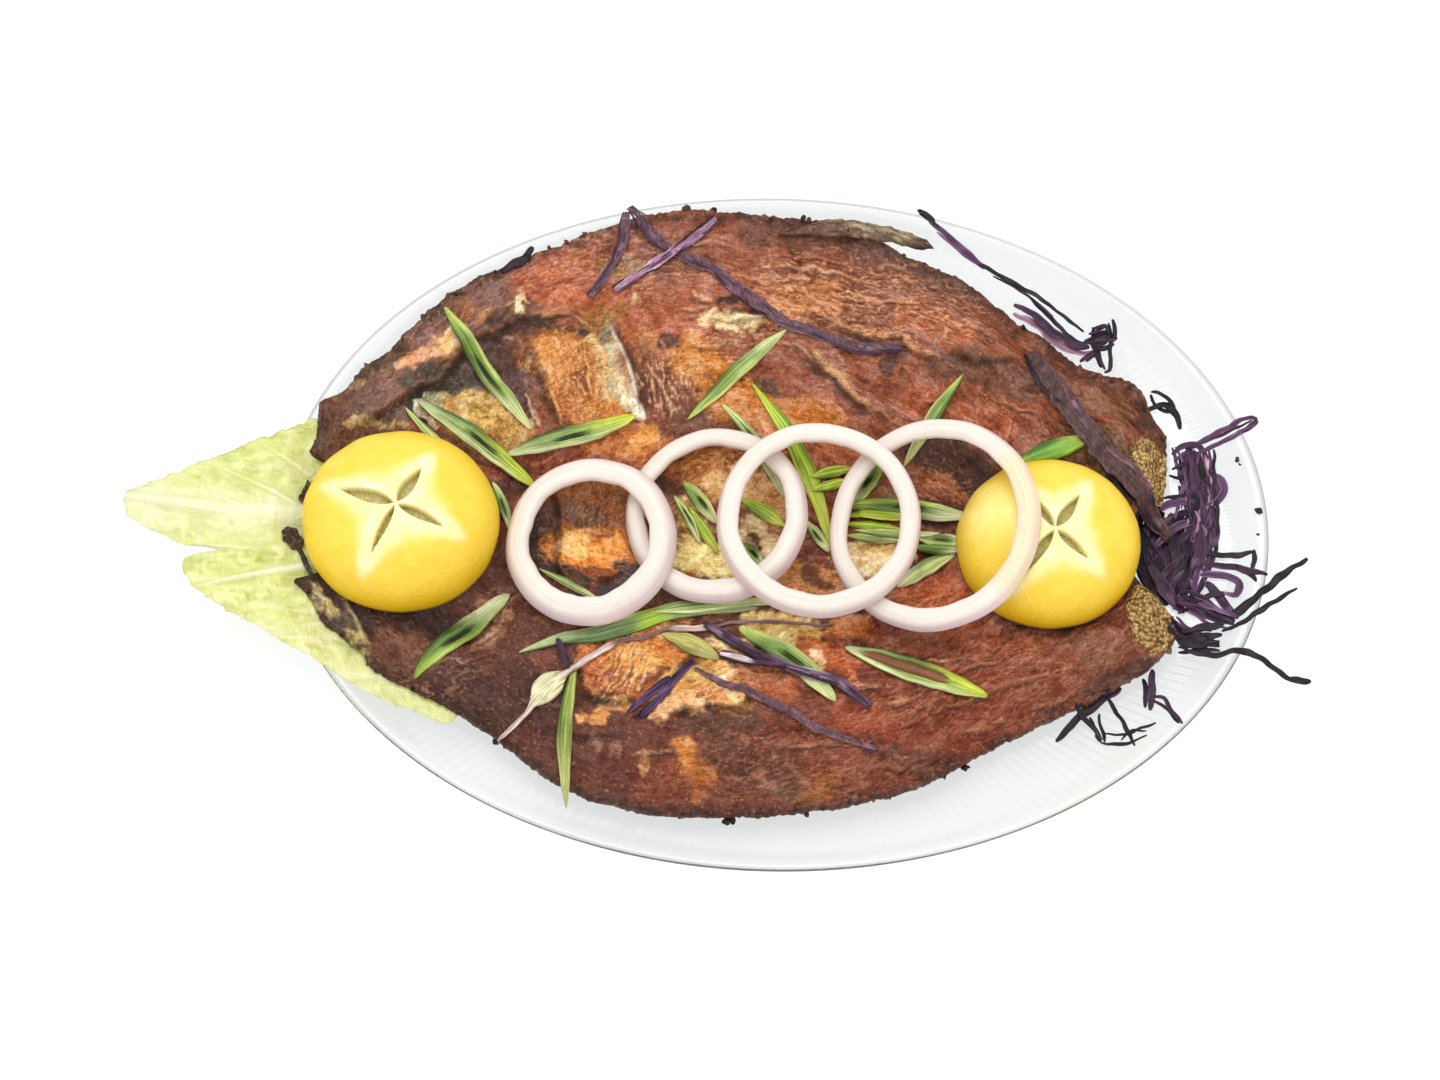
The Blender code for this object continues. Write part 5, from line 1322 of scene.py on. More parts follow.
def build_fish(material, pile):
    """The split fish, flesh side up, with a ragged crisp edge: one surface in three pieces."""
    top_shares = 1 - (1 - np.linspace(0, 1, FISH_ROWS)) ** 1.08
    shares = np.array([*top_shares, *[share for share, _ in FISH_SIDE_PROFILE], *FISH_UNDER_SHARES])
    edge, core, reach, outward, steps = spread(FISH_UPPER, FISH_LOWER, (0, 0), FISH_SPINE, FISH_SIDES)
    stem = np.concatenate([[0], np.cumsum(steps)[:-1]])
    stem = np.where(np.arange(FISH_SIDES) <= FISH_SIDES // 2, stem, stem[-1] + steps[-1] - stem + 400)
    jag = ragged_edge(edge, stem)
    capped = np.minimum(shares, 1.0)
    places = core + shares[:, None, None] * (edge - core)
    places = places + outward * (jag * ramp(capped, 0.9, 1.0)[:, None])[:, :, None]
    across = (1 - capped)[:, None] * reach
    rows, sides = across.shape
    x, y, inward = places[:, :, 0].ravel(), places[:, :, 1].ravel(), across.ravel()
    lengthwise = np.tile(stem, rows)
    relief, shade_and_tone = flesh(x, y, lengthwise, inward)
    paint = fry(x, y, shade_and_tone, fish_paint(x, y, shade_and_tone))
    crisp = ramp(inward + 2.2 * layered(x, y, 7, 71, 2), 6.0, 0.3)
    lumps = layered(x, y, 3.0, 73, 2)
    relief += crisp * 0.55 * lumps
    paint = toward(paint, crisp * (0.4 + 0.5 * ramp(lumps, 0.4, -0.4)), (60, 38, 29))
    near = (x + 0.9 * layered(x, y, 7, 43, 2), y + 0.9 * layered(x, y, 7, 45, 2))
    for lay in (lay_folds, lay_hairs, lay_threads):
        lay(x, y, near, relief, paint)
    tail = tail_field(x, y)
    relief += 1.0 * tail - 0.9 * np.exp(-((tail - 0.25) / 0.2) ** 2) * (tail > 0.02)
    # Flatten the fish under each lemon and paint a contact shadow round its foot.
    for middle, radius, _, _ in LEMONS.values():
        away = np.hypot(x - middle[0], y - middle[1])
        relief *= 0.25 + 0.75 * ramp(away, radius - 8, radius - 1)
        paint = toward(paint, 0.55 * ramp(away, radius + 4, radius - 2), (58, 38, 32))
    shown = np.repeat(ramp(shares, 1.15, 0.9), sides)
    height = (fish_height(x, y, np.repeat(shares, sides)) + relief * shown).reshape(rows, sides)
    bed = np.array([pile.top(a, b) for a, b in edge - 1.5 * outward]) + 0.5
    last = height[FISH_ROWS - 1]
    for number, (_, level) in enumerate(FISH_SIDE_PROFILE):
        lift = 0.5 * wander(stem, 64, 2.2, number * 2.3) * (level > 0.1)
        height[FISH_ROWS + number] = bed + (last - bed) * level + lift
    first_under = rows - len(FISH_UNDER_SHARES)
    for number, share in enumerate(FISH_UNDER_SHARES, first_under):
        raised = (bed - plate_height(*edge.T)) * share**3
        height[number] = plate_height(*places[number].T) + 0.5 + raised
    points = fold_rows(np.dstack([places, height[:, :, None]]), sides)
    grain = np.column_stack([lengthwise, inward + 3.0 * noise(x, y, 17, 21), 0 * x])
    values = [fold_rows(field.reshape(rows, sides, -1), sides) for field in (paint, grain, crisp, tail)]
    return cut_in_three(points, folded_faces(rows, sides), sides, values, material)


# --- lettuce --------------------------------------------------------------------------------------
LEAF_SIDES = 380
LEAF_ROWS = 52
# Veins of the leaf: path and half width at its root.
LEAF_VEINS = [
    ([(-98, -6), (-125, -3), (-150, -1), (-178, 0), (-209, 3)], 5.6),
    ([(-112, -5), (-128, 10), (-140, 22), (-150, 31)], 1.7),
    ([(-128, -3), (-144, 8), (-158, 17), (-168, 23)], 1.5),
    ([(-148, -1), (-162, 6), (-176, 12), (-186, 16)], 1.3),
    ([(-168, 0), (-180, 4), (-192, 8), (-200, 10)], 1.0),
    ([(-118, -5), (-134, -12), (-152, -18), (-184, -26)], 2.6),
    ([(-104, -8), (-120, -22), (-138, -34), (-160, -40)], 1.8),
    ([(-100, -14), (-112, -32), (-124, -46), (-134, -54)], 1.6),
    ([(-98, -24), (-104, -42), (-110, -54), (-116, -62)], 1.3),
    ([(-140, -14), (-150, -22), (-160, -32), (-166, -37)], 0.9),
    ([(-156, -1), (-168, -6), (-180, -11)], 0.9),
    ([(-136, -2), (-146, -7), (-160, -10), (-174, -12)], 0.9),
]


def leaf_height(x, y):
    """Underside of the lettuce: up the platter's side, over the rim and out, in waves."""
    beyond = np.clip(-x - PLATE_HALF_LENGTH, 0, 60)
    bed = np.minimum(plate_height(x, y), PLATE_RIM + 0.6) + 0.06 * beyond
    ripple = 0.5 + 0.5 * np.sin(x * 0.21 + y * 0.13) * np.cos(y * 0.3 - x * 0.05)
    return bed + 0.5 + LEAF_WAVE * ripple


def vein_field(x, y):
    """How much of each place is vein, and the distance to the nearest vein."""
    best = np.zeros_like(x)
    nearest = np.full_like(x, 1e9)
    for path, width in LEAF_VEINS:
        line = smooth(path, 60)
        taper = width * (1 - 0.75 * np.linspace(0, 1, 60))
        for (a, b), here in zip(line, taper):
            away = np.hypot(x - a, y - b)
            nearest = np.minimum(nearest, away - 0.5 * here)
            best = np.maximum(best, np.exp(-(away / here) ** 2) * min(1.0, here / 1.2))
    return best, nearest


def build_leaf(material):
    """A thin crinkled leaf with a thick white midrib, under the head and over the rim."""
    edge, core, _, outward, steps = spread(LEAF_UPPER, LEAF_LOWER, LEAF_MIDDLE, LEAF_SPINE, LEAF_SIDES)
    turn = np.cumsum(steps)
    jag = 0.8 * wander(turn, 81, 3.4) + 0.5 * wander(turn, 82, 1.5)
    upper, under, paints = [], [], []
    for share in np.linspace(0, 1, LEAF_ROWS):
        row = core + share * (edge - core) + outward * (jag * ramp(share, 0.8, 1.0))[:, None]
        x, y = row.T
        vein, nearest = vein_field(x, y)
        crinkle = layered(x, y, 8.0, 85) * ramp(nearest, 0.0, 5.0)
        bulge = 1.15 * np.clip(crinkle, -0.8, 1.0) + 0.9 * wander(turn, 88, 7.0) * ramp(share, 0.75, 1.0)
        free = ramp(-x, 128, 150)
        base = leaf_height(x, y) + np.maximum(bulge * (0.35 + 0.65 * free), -0.6) + 0.6
        thick = 0.35 + 1.3 * vein
        upper.append(np.column_stack([x, y, base + thick]))
        under.append(np.column_stack([x, y, base - 0.15]))
        spots = ramp(noise(x, y, 2.2, 86), 0.15, 0.6) * ramp(nearest, 0.5, 3.0)
        green = toward(linear(184, 185, 100), ramp(crinkle, -0.6, 0.7), (219, 218, 151))
        green = toward(green, 0.6 * ramp(y, -20, -50), (224, 221, 174))
        green = toward(green, 0.55 * spots, (152, 162, 76))
        green = toward(green, 0.7 * ramp(-x, 186, 204), (206, 204, 168))
        green = toward(green, 0.6 * ramp(-x, 201, 208), (176, 178, 128))
        ribs = np.maximum(0.55 * np.exp(-((y - 0.04 * x - 6) / 9) ** 2), ramp(vein, 0.1, 0.85))
        paints.append(toward(green, ribs, (230, 227, 200)))
    points = fold_rows(upper + under[::-1], LEAF_SIDES)
    paint = fold_rows(paints + paints[::-1], LEAF_SIDES)
    leaf = make("lettuce", points, folded_faces(2 * LEAF_ROWS, LEAF_SIDES), material, "lettuce",
                paint=paint)
    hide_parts("lettuce_leaf")
    return leaf


# --- lemons ---------------------------------------------------------------------------------------
def resting_plane(places, pile):
    """The lowest plane over the pile below the given places: slope in x, slope in y, height."""
    heights = np.array([pile.top(x, y) for x, y in places]) + GAP
    offsets = places - places.mean(axis=0)
    best = None
    for slope_x in np.linspace(-0.4, 0.4, 81):
        for slope_y in np.linspace(-0.3, 0.3, 61):
            level = (heights - slope_x * offsets[:, 0] - slope_y * offsets[:, 1]).max()
            if best is None or level < best[2] - 1e-6:
                best = (slope_x, slope_y, level)
    return best


def lay_rigid(points, middle, plane):
    """Tilt a stiff piece, made on the ground, to the plane that it rests on."""
    slope_x, slope_y, level = plane
    up = Vector((-slope_x, -slope_y, 1)).normalized()
    turn = np.array(Vector((0, 0, 1)).rotation_difference(up).to_matrix())
    return points @ turn.T + np.array([*middle, level])


def disc(middle, radii):
    """Places spread over rings of the given radii round a middle."""
    places = [np.array(middle, float)]
    for radius_x, radius_y in radii:
        for turn in circle(120):
            places.append(middle + np.array([radius_x * math.cos(turn), radius_y * math.sin(turn)]))
    return np.array(places)


LEMON_SIDES = 190
LEMON_ROWS = 84
LEMON_CROWN = 0.72          # share of the way out to which the rows are equally spaced
LEMON_CROWN_ROWS = 60
LEMON_CUT_PROFILE = [(0.985, 0.0), (0.6, 0.1), (0.02, 0.1)]     # share of the way out, height


def slit_fields(x, y, slits):
    """Depth of the slits from 0 to 1, and how white the rind is round them."""
    depth = np.zeros_like(x)
    white = np.zeros_like(x)
    for direction, length, width in slits:
        u, v = turned(x, y, (0, 0), direction)
        v = np.abs(v)
        t = (u - SLIT_START) / length
        lens = width / 2 * np.sin(math.pi * np.clip(t, 0, 1) ** SLIT_SKEW)
        inside = (t > 0) & (t < 1)
        depth = np.maximum(depth, inside * ramp(lens - v, -0.05, 0.55))
        arm = 7.0 * (1 - ramp(u, -2.0, length + 10)) + 2.0
        ends = ramp(u, length + 10, length + 2) * ramp(u, -7, -1)
        white = np.maximum(white, ends * np.exp(-(np.maximum(v - 0.5 * lens, 0) / arm) ** 2))
    return depth, white


def build_lemon(name, material, pile):
    """A lemon end, cut side down, with a cross of four slits in a star of white pith."""
    middle, radius, height, slits = LEMONS[name]
    angles = circle(LEMON_SIDES)
    inner = np.linspace(0.012, LEMON_CROWN, LEMON_CROWN_ROWS)
    outer = 1 - (1 - LEMON_CROWN) * (1 - np.linspace(0, 1, LEMON_ROWS - LEMON_CROWN_ROWS + 1)[1:]) ** 1.7
    rows, depths, whites = [], [], []
    for share in [*inner, *outer]:
        level = height * (1 - min(share, 1.0) ** LEMON_SQUARE) ** (1 / LEMON_SQUARE)
        wobble = 1 + 0.012 * noise(3 * np.cos(angles), 3 * np.sin(angles), 1.0, 90)
        x = share * radius * np.cos(angles) * wobble
        y = share * radius * np.sin(angles) * wobble
        depth, white = slit_fields(x, y, slits)
        lip = 0.35 * white * (1 - depth)
        dent = 0.22 * layered(x, y, 9.0, 91, 2)
        rows.append(np.column_stack([x, y, np.maximum(level - SLIT_DEPTH * depth + lip + dent, 0)]))
        depths.append(depth)
        whites.append(white)
    for share, level in LEMON_CUT_PROFILE:
        rows.append(np.column_stack([share * radius * np.cos(angles), share * radius * np.sin(angles),
                                     np.full(LEMON_SIDES, level)]))
        depths.append(np.zeros(LEMON_SIDES))
        whites.append(np.full(LEMON_SIDES, 0.4))
    local, faces = tubes([rows])
    depth, white = np.concatenate(depths), np.concatenate(whites)
    radii = [(radius * share, radius * share) for share in (0.3, 0.6, 0.85, 1.0)]
    places = disc(np.array(middle), radii)
    oval = local * (*LEMON_OVAL, 1.0)
    points = lay_rigid(oval, middle, resting_plane(places, pile))
    # The rind is painted paler on top, deeper yellow down its sides and darker orange on its near side:
    # painted highlight and shade over the rind's own yellow.
    low = ramp(local[:, 2] / height, 0.85, 0.1)
    near = ramp((0.3 * local[:, 0] - 0.95 * local[:, 1]) / radius, 0.0, 1.0)
    skin = toward(linear(243, 211, 81), low, (242, 209, 38))
    skin = toward(skin, (0.1 + 0.55 * low) * near, (222, 172, 4))
    # A painted highlight on the rind.
    if name in LEMON_HIGHLIGHTS:
        (highlight_x, highlight_y), size, strength = LEMON_HIGHLIGHTS[name]
        highlight = np.exp(-((local[:, 0] - highlight_x) ** 2 + (local[:, 1] - highlight_y) ** 2) / size ** 2)
        skin = toward(skin, strength * highlight, (252, 242, 176))
    star = 0.5 * ramp(white, 0.0, 0.6) + 0.45 * ramp(white, 0.25, 1.0)
    lemon = make(name + "_rind", points, faces, material, "lemon",
                 paint=toward(skin, star, (250, 243, 196)), masks={"flesh": ramp(depth, 0.35, 0.85)})
    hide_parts(name)
    return lemon


# --- onion rings ----------------------------------------------------------------------------------
RING_SIDES = 216
RING_SECTION = 24


def build_ring(name, material, pile):
    """A slice of one onion layer: a rounded band that flares towards its lower edge."""
    middle, half_length, half_width, wall, flare, height = RINGS[name]
    corners = [(-wall - flare, height * 0.66), (-0.94 * wall - flare, height * 0.88),
               (-0.7 * wall - flare, height * 0.97), (-0.35 * wall - 0.9 * flare, height),
               (-0.05 * wall - 0.7 * flare, height * 0.93), (-0.4 * flare, height * 0.74),
               (-0.08 * flare, height * 0.42), (0.0, height * 0.16), (-0.5, height * 0.01),
               (-1.6, 0), (-wall + 0.6, 0), (-wall - 0.3 * flare, height * 0.14),
               (-wall - 0.8 * flare, height * 0.4)]
    section = smooth(corners + corners[:1], RING_SECTION + 1)[:-1]
    seed = 100 + round(middle[0])
    rows, paints, grains = [], [], []
    inner_edge = section[:, 0] - section[:, 0].min()
    level = section[:, 1] / height
    outer = ramp(section[:, 0], -flare - 0.35 * wall, -0.2 * flare)
    rim = outer * ramp(level, 0.95, 0.5) * ramp(level, 0.02, 0.3)
    for turn in circle(RING_SIDES):
        place = (4 * math.cos(turn), 4 * math.sin(turn))
        sway = 1 + 0.012 * float(noise(*place, 2.0, seed))
        thick = 1 + 0.06 * float(noise(*place, 1.1, seed + 1))
        out = section[:, 0] * thick
        rows.append(np.column_stack([(half_length * sway + out) * math.cos(turn),
                                     (half_width * sway + out) * math.sin(turn),
                                     section[:, 1] * (1 + 0.03 * float(noise(*place, 1.6, seed + 2)))]))
        colour = toward(linear(231, 217, 209), ramp(level, 0.25, 0.85), (228, 219, 210))
        blush = 0.6 + 0.4 * float(noise(*place, 1.7, seed + 3))
        colour = toward(colour, blush * rim, (220, 196, 207))
        for (lemon_x, lemon_y), radius, _, _ in LEMONS.values():      # painted light: the lemon's yellow painted on the onion where it lies over a lemon
            away = math.hypot(middle[0] + half_length * math.cos(turn) - lemon_x,
                              middle[1] + half_width * math.sin(turn) - lemon_y)
            colour = toward(colour, 0.4 * ramp(away, radius + 1, radius - 5), (238, 214, 140))
        paints.append(colour)
        grains.append(np.column_stack([np.full(RING_SECTION, turn * half_length), inner_edge,
                                       section[:, 1]]))
    local = np.vstack(rows)
    radii = [(half_length - inset, half_width - inset) for inset in np.linspace(0, wall, 5)]
    places = disc(np.array(middle), radii)[1:]
    points = lay_rigid(local, middle, resting_plane(places, pile))
    faces = quads(RING_SIDES, RING_SECTION, wrap_rows=True)
    ring = make(name + "_slice", points, faces, material, "onion", paint=np.vstack(paints),
                grain=np.vstack(grains))
    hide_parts(name)
    return ring


# --- spring onion and cabbage ---------------------------------------------------------------------
GREENS = {                  # pale edge, middle, dark edge, slot (painted shade inside the hollow), start tip, end tip, one bright place
    "fresh": ((196, 206, 124), (118, 146, 62), (66, 96, 38), (34, 44, 20), (184, 198, 100),
              (208, 214, 148), None),
    "dark": ((152, 172, 82), (94, 122, 46), (54, 80, 32), (28, 38, 18), (154, 178, 70),
             (206, 208, 158), None),
    "pale": ((208, 212, 154), (158, 176, 102), (106, 134, 64), (62, 78, 38), (206, 212, 140),
             (214, 216, 168), None),
    "lime": ((196, 208, 80), (150, 176, 42), (100, 132, 30), (66, 88, 24), (190, 202, 60),
             (206, 206, 90), None),
    "bright": ((150, 186, 68), (104, 154, 38), (62, 112, 26), (42, 72, 20), (160, 190, 56),
               (184, 204, 80), None),
    "lime_end": ((204, 212, 152), (134, 156, 84), (74, 104, 46), (28, 38, 18), (196, 204, 150),
                 (200, 212, 60), None),
    "lime_middle": ((184, 196, 146), (132, 156, 100), (92, 122, 68), (60, 80, 40), (180, 196, 138),
                    (150, 162, 106), (170, 208, 46)),
    "olive": ((194, 192, 116), (166, 162, 80), (124, 122, 54), (84, 84, 36), (190, 186, 104),
              (178, 174, 108), None),
    "straw": ((188, 194, 122), (132, 152, 64), (82, 106, 40), (66, 84, 30), (176, 184, 96),
              (184, 184, 116), None),
}
GAPING = {                  # a slice that lies wide open: how wide, what shows in it, from, to
    "near_right": (0.5, (122, 74, 36), 0.06, 0.78),
}
STATION_STEP = 1.3          # distance between the cross-sections of a strip
SLIVER_FINER = 1.5          # a slice has so many times more of them
SHRED_STEP = 0.75           # share of that distance for a shred, and for one with the fish's colour painted through it
SEE_THROUGH_STEP = 0.45
# Where a strip is felt from below: offset across it, how far its underside lies above its lowest part.
SLIVER_UNDER = [(-1.0, 0.25), (-0.5, 0.1), (0.0, 0.0), (0.5, 0.1), (1.0, 0.25)]
SHRED_UNDER = [(-0.8, 0.0), (0.0, 0.0), (0.8, 0.0)]


def strip_level(line, half_width, under, pile, sag):
    """Height of a strip's underside at each station: it rests on the pile and spans its dips."""
    _, aside = heading(line)
    level = np.zeros(len(line))
    for offset, lift in under:
        tops = np.array([pile.top(x, y) for x, y in line + aside * (offset * half_width)[:, None]])
        level = np.maximum(level, np.where(tops > 0, tops - lift, 0))
    carried = np.flatnonzero(level)
    level[carried[-1] + 1:] = level[carried[-1]]
    level[:carried[0]] = level[carried[0]]
    level += GAP
    for _ in range(60):
        level[1:-1] = np.maximum(level[1:-1], (level[:-2] + level[2:]) / 2 - sag)
    return level


def sliver_section(form, slot, gape):
    """Cross-section of a slice: across from -1 to 1, height from 0 to 1, and 1 in the slot.

    An open slice is cut along its top, where its two walls part round a slot."""
    if form == "open":
        skin = [(math.cos(a), 0.7 + 0.7 * math.sin(a), 0) for a in np.linspace(math.pi, 2 * math.pi, 11)]
        wide = gape * slot
        right = [(0.88, 0.88, 0), (0.66 + 0.1 * wide, 0.98, 0), (0.4 + 0.1 * slot + 0.24 * wide, 1.0, 0),
                 (0.1 + 0.2 * slot + 0.4 * wide, 0.96 - 0.12 * slot, 0),
                 (0.05 + 0.12 * slot + 0.5 * wide, 0.92 - 0.5 * slot, 1)]
        left = [(-across, height, part) for across, height, part in right[::-1]]
        return skin + right + [(0.0, 0.9 - 0.7 * slot, 1)] + left
    upper = [(math.cos(a), 0.2 + 0.8 * math.sin(a), 0) for a in np.linspace(0, math.pi, 17)]
    return upper + [(-0.8, 0.0, 0), (-0.3, 0.0, 0), (0.3, 0.0, 0), (0.8, 0.0, 0)]


def build_sliver(name, material, pile):
    """A long slanting slice of spring onion, open along its top or round, pale along one edge."""
    node, (path, width, form, greens) = SLIVER_TWINS.get(name) or (name, SLIVERS[name])
    pale, middle, dark, slot_shade, first, last, between = GREENS[greens]
    length = length_of(path, 40)
    stations = max(20, round(length / STATION_STEP * SLIVER_FINER))
    seed = 200 + [*SLIVERS, *SLIVER_TWINS].index(name)
    share = np.linspace(0, 1, stations)
    line = smooth(path, stations)
    _, aside = heading(line)
    swell = 0.07 + 0.93 * np.sin(math.pi * share ** 1.05) ** (0.6 if form == "open" else 0.75)
    half_width = width / 2 * 1.1 * swell * (1 + 0.14 * wander(share * 6, seed))
    level = strip_level(line, half_width, SLIVER_UNDER, pile, 0.012)
    flip = 1 if hashed(seed, 9, 9) > 0.5 else -1
    start = 0.18 + 0.2 * hashed(seed, 3, 7)
    stop = 0.82 - 0.2 * hashed(seed, 5, 7)
    gape, inside = 0.0, None
    if name in GAPING:
        gape, inside, start, stop = GAPING[name]
    slots = ramp(share, start, start + 0.12) * ramp(share, stop, stop - 0.12)
    shift = 0.3 * (hashed(seed, 6, 2) - 0.5)
    rows, paints, grains = [], [], []
    for i in range(stations):
        across, heights, part = np.array(sliver_section(form, slots[i], gape)).T
        across = across + shift * slots[i] * (1 - across ** 2)
        curl = 0.14 * noise(share[i] * 4, across * 1.3, 1, seed + 50)
        rise = SLIVER_THICK * (heights + curl * (heights > 0.3)) * (0.3 + 0.7 * swell[i])
        rows.append(np.column_stack([line[i] + aside[i] * (across * half_width[i])[:, None],
                                     level[i] + rise]))
        lean = across * flip + 0.35 * noise(share[i] * length / 16, 0 * across, 1, seed + 7)
        colour = toward(linear(*pale), ramp(lean, -0.95, -0.35), middle)
        colour = toward(colour, ramp(lean, 0.25, 0.85), dark)
        broad = noise(share[i] * length / 22, across * width * 1.1, 1, seed)
        fine = noise(share[i] * length / 10, across * width * 2.3, 1, seed + 3)
        colour = colour * (1 + 0.55 * broad + 0.3 * fine)[:, None]
        # The slot's walls are painted dark: painted shade inside the hollow.
        colour = toward(colour, part * slots[i], slot_shade)
        colour = toward(colour, 0.85 * ramp(share[i] + 0.1 * across * flip, 0.3, 0.02), first)
        colour = toward(colour, 0.85 * ramp(share[i] + 0.14 * across * flip, 0.54, 0.94), last)
        if inside:
            colour = toward(colour, part * slots[i], inside)
        if between:
            colour = toward(colour, 0.9 * math.exp(-((share[i] - 0.56) / 0.07) ** 2), between)
        paints.append(colour)
        grains.append(np.column_stack([np.full(len(across), share[i] * length + seed * 7),
                                       across * width / 2, heights]))
    sliver = make(f"green_{name}", *tubes([rows]), material, "spring_onion",
                  paint=np.clip(np.vstack(paints), 0.005, 1), grain=np.vstack(grains))
    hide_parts(f"spring_onion_{node}")
    return sliver


PURPLES = {                 # leaf face, cut edge (also painted on the face as highlights), how much of the edge shows
    "deep": ((58, 34, 56), (140, 104, 140), 0.45),
    "violet": ((84, 50, 84), (178, 146, 182), 0.6),
    "black": ((30, 21, 31), (84, 62, 84), 0.25),
    "dusk": ((88, 62, 74), (160, 130, 148), 0.5),
    "pink": ((146, 104, 128), (230, 198, 210), 0.8),
    "edged": ((54, 28, 50), (212, 172, 190), 0.5),
    "bright": ((56, 30, 74), (146, 110, 166), 0.6),
    "white": ((212, 206, 164), (104, 58, 80), 0.35),
    "band": ((74, 51, 50), (116, 88, 94), 0.4),
    "patch": ((222, 200, 204), (120, 80, 100), 0.3),
}
KNOTS = ("cabbage_tangle", "cabbage_below_tail", "cabbage_far_b", "cabbage_curl")
SEE_THROUGH = {"dusk": 0.5, "band": 0.22}      # looks on which the fish's brown is painted, as light seen through the thin strand, and how much
SEE_THROUGH_COLOUR = (160, 108, 90)
FRAY_TINTS = {"band": ("dusk", "black", "band"), "dusk": ("dusk", "deep", "dusk")}
BULB_PLACE = (-71.5, -56.5)  # the pale shred's swollen white root
BULB_WIDTH = 9.0
BROAD_WIDTH = 3.5           # from here on a ribbon has more columns
THIN_COLUMNS = 10
BROAD_COLUMNS = 24


def ribbon(line, width, thick, look, seed, twist):
    """A thin strip with wavy edges that turns about its own line: flat rows and their colours."""
    stations = len(line)
    share = np.linspace(0, 1, stations)
    face, edge, edging = PURPLES[look]
    run, _ = heading(line)
    swell = 0.35 + 0.65 * np.sin(math.pi * share) ** 0.5
    ragged = 0.06 if look == "white" else 0.3
    half = width / 2 * swell * (1 + ragged * wander(share * stations / 6, seed))
    thinner = ramp(share, 0.4, 0.56) if look == "patch" else 0 * share
    half = half * (1 - 0.55 * thinner)
    if look == "white":
        away = np.hypot(line[:, 0] - BULB_PLACE[0], line[:, 1] - BULB_PLACE[1])
        bulb = np.exp(-(away / 5.6) ** 3)
        half = half * (1 + 0.5 * (1 - bulb) * wander(share * stations / 9, seed + 6))
        bare = ramp(line[:, 0], -53, -50) * ramp(line[:, 0], -31, -34) + ramp(line[:, 0], -22, -19)
        half = (half + (BULB_WIDTH - width) / 2 * bulb) * (1 - 0.5 * bare)
    lean = twist * wander(share * stations / 12, seed + 1)
    # Where painted highlights fall along the strand.
    lights = wander(share * stations / 9, seed + 2)
    turn = circle(THIN_COLUMNS if width < BROAD_WIDTH else BROAD_COLUMNS)
    flank = np.abs(np.cos(turn))
    rows, paints, grains = [], [], []
    for i in range(stations):
        out = half[i] * np.sign(np.cos(turn)) * flank ** 0.7
        hollow = 0.3 * thick * (out / half[i]) ** 2
        wrinkle = 0.4 * noise(share[i] * stations / 8, out / 1.1, 1, seed + 4) * (np.sin(turn) > 0)
        up = thick / 2 * np.sin(turn) * (0.6 + 0.4 * swell[i]) + hollow + wrinkle
        across = out * math.cos(lean[i]) - up * math.sin(lean[i])
        rise = out * math.sin(lean[i]) + up * math.cos(lean[i])
        rows.append(np.column_stack([line[i] + np.outer(across, (-run[i, 1], run[i, 0])), rise]))
        # The cut edge, and the face near it, take the edge colour where the painted sheen is strong:
        # painted highlights.
        cut = ramp(flank, 0.9 - 0.5 * edging, 1.0) * (0.4 + 0.6 * ramp(lights[i], -0.3, 0.3))
        colour = toward(linear(*face), cut * edging, edge)
        colour = toward(colour, 0.5 * ramp(flank, 0.7, 0.1) * ramp(lights[i], 0.2, 0.6), edge)
        colour = colour * (1 + 0.4 * noise(share[i] * stations / 5 + seed, out, 1.2, seed)[:, None])
        hatch = noise(share[i] * stations / 1.7 + 1.4 * out, out / 1.6, 1, seed + 5)
        colour = colour * (1 + 0.5 * (width > 3) * hatch[:, None])
        # Painted light through the strand: the fish's brown painted into it.
        if look in SEE_THROUGH:
            colour = toward(colour, SEE_THROUGH[look] * ramp(hatch, 0.1, 0.6), SEE_THROUGH_COLOUR)
        colour = toward(colour, thinner[i], (60, 34, 54))
        if look == "white":
            thin = 1 - ramp(bulb[i], 0.05, 0.4)
            sides = thin * ramp(flank, 0.55, 0.85) * ramp(lights[i], -0.5, 0.1)
            colour = toward(colour, 0.8 * thin, (206, 178, 176))
            colour = toward(colour, 0.85 * sides, (84, 44, 66))
            colour = toward(colour, 0.8 * bare[i], (100, 62, 74))
        if look == "edged":
            # A pale patch on one flank: a painted highlight.
            pale = math.exp(-((share[i] - 0.62) / 0.13) ** 2) * ramp(np.cos(turn), 0.1, 0.7)
            colour = toward(colour, 0.85 * pale, (222, 196, 206))
        paints.append(colour)
        grains.append(np.column_stack([np.full(len(turn), i * 1.3 + seed * 5.0), out, up]))
    return half, np.array(rows), np.clip(np.vstack(paints), 0.004, 1), np.vstack(grains)


TANGLE_THREADS = 58         # fine strands along the tangle, and along its left side
SIDE_THREADS = 16
TANGLE_FLOW = [(134, 30), (138, 20), (138, 8), (136, -4), (132, -14), (129, -24)]
SIDE_FLOW = [(120, 5), (122, -4), (125, -12), (129, -20)]


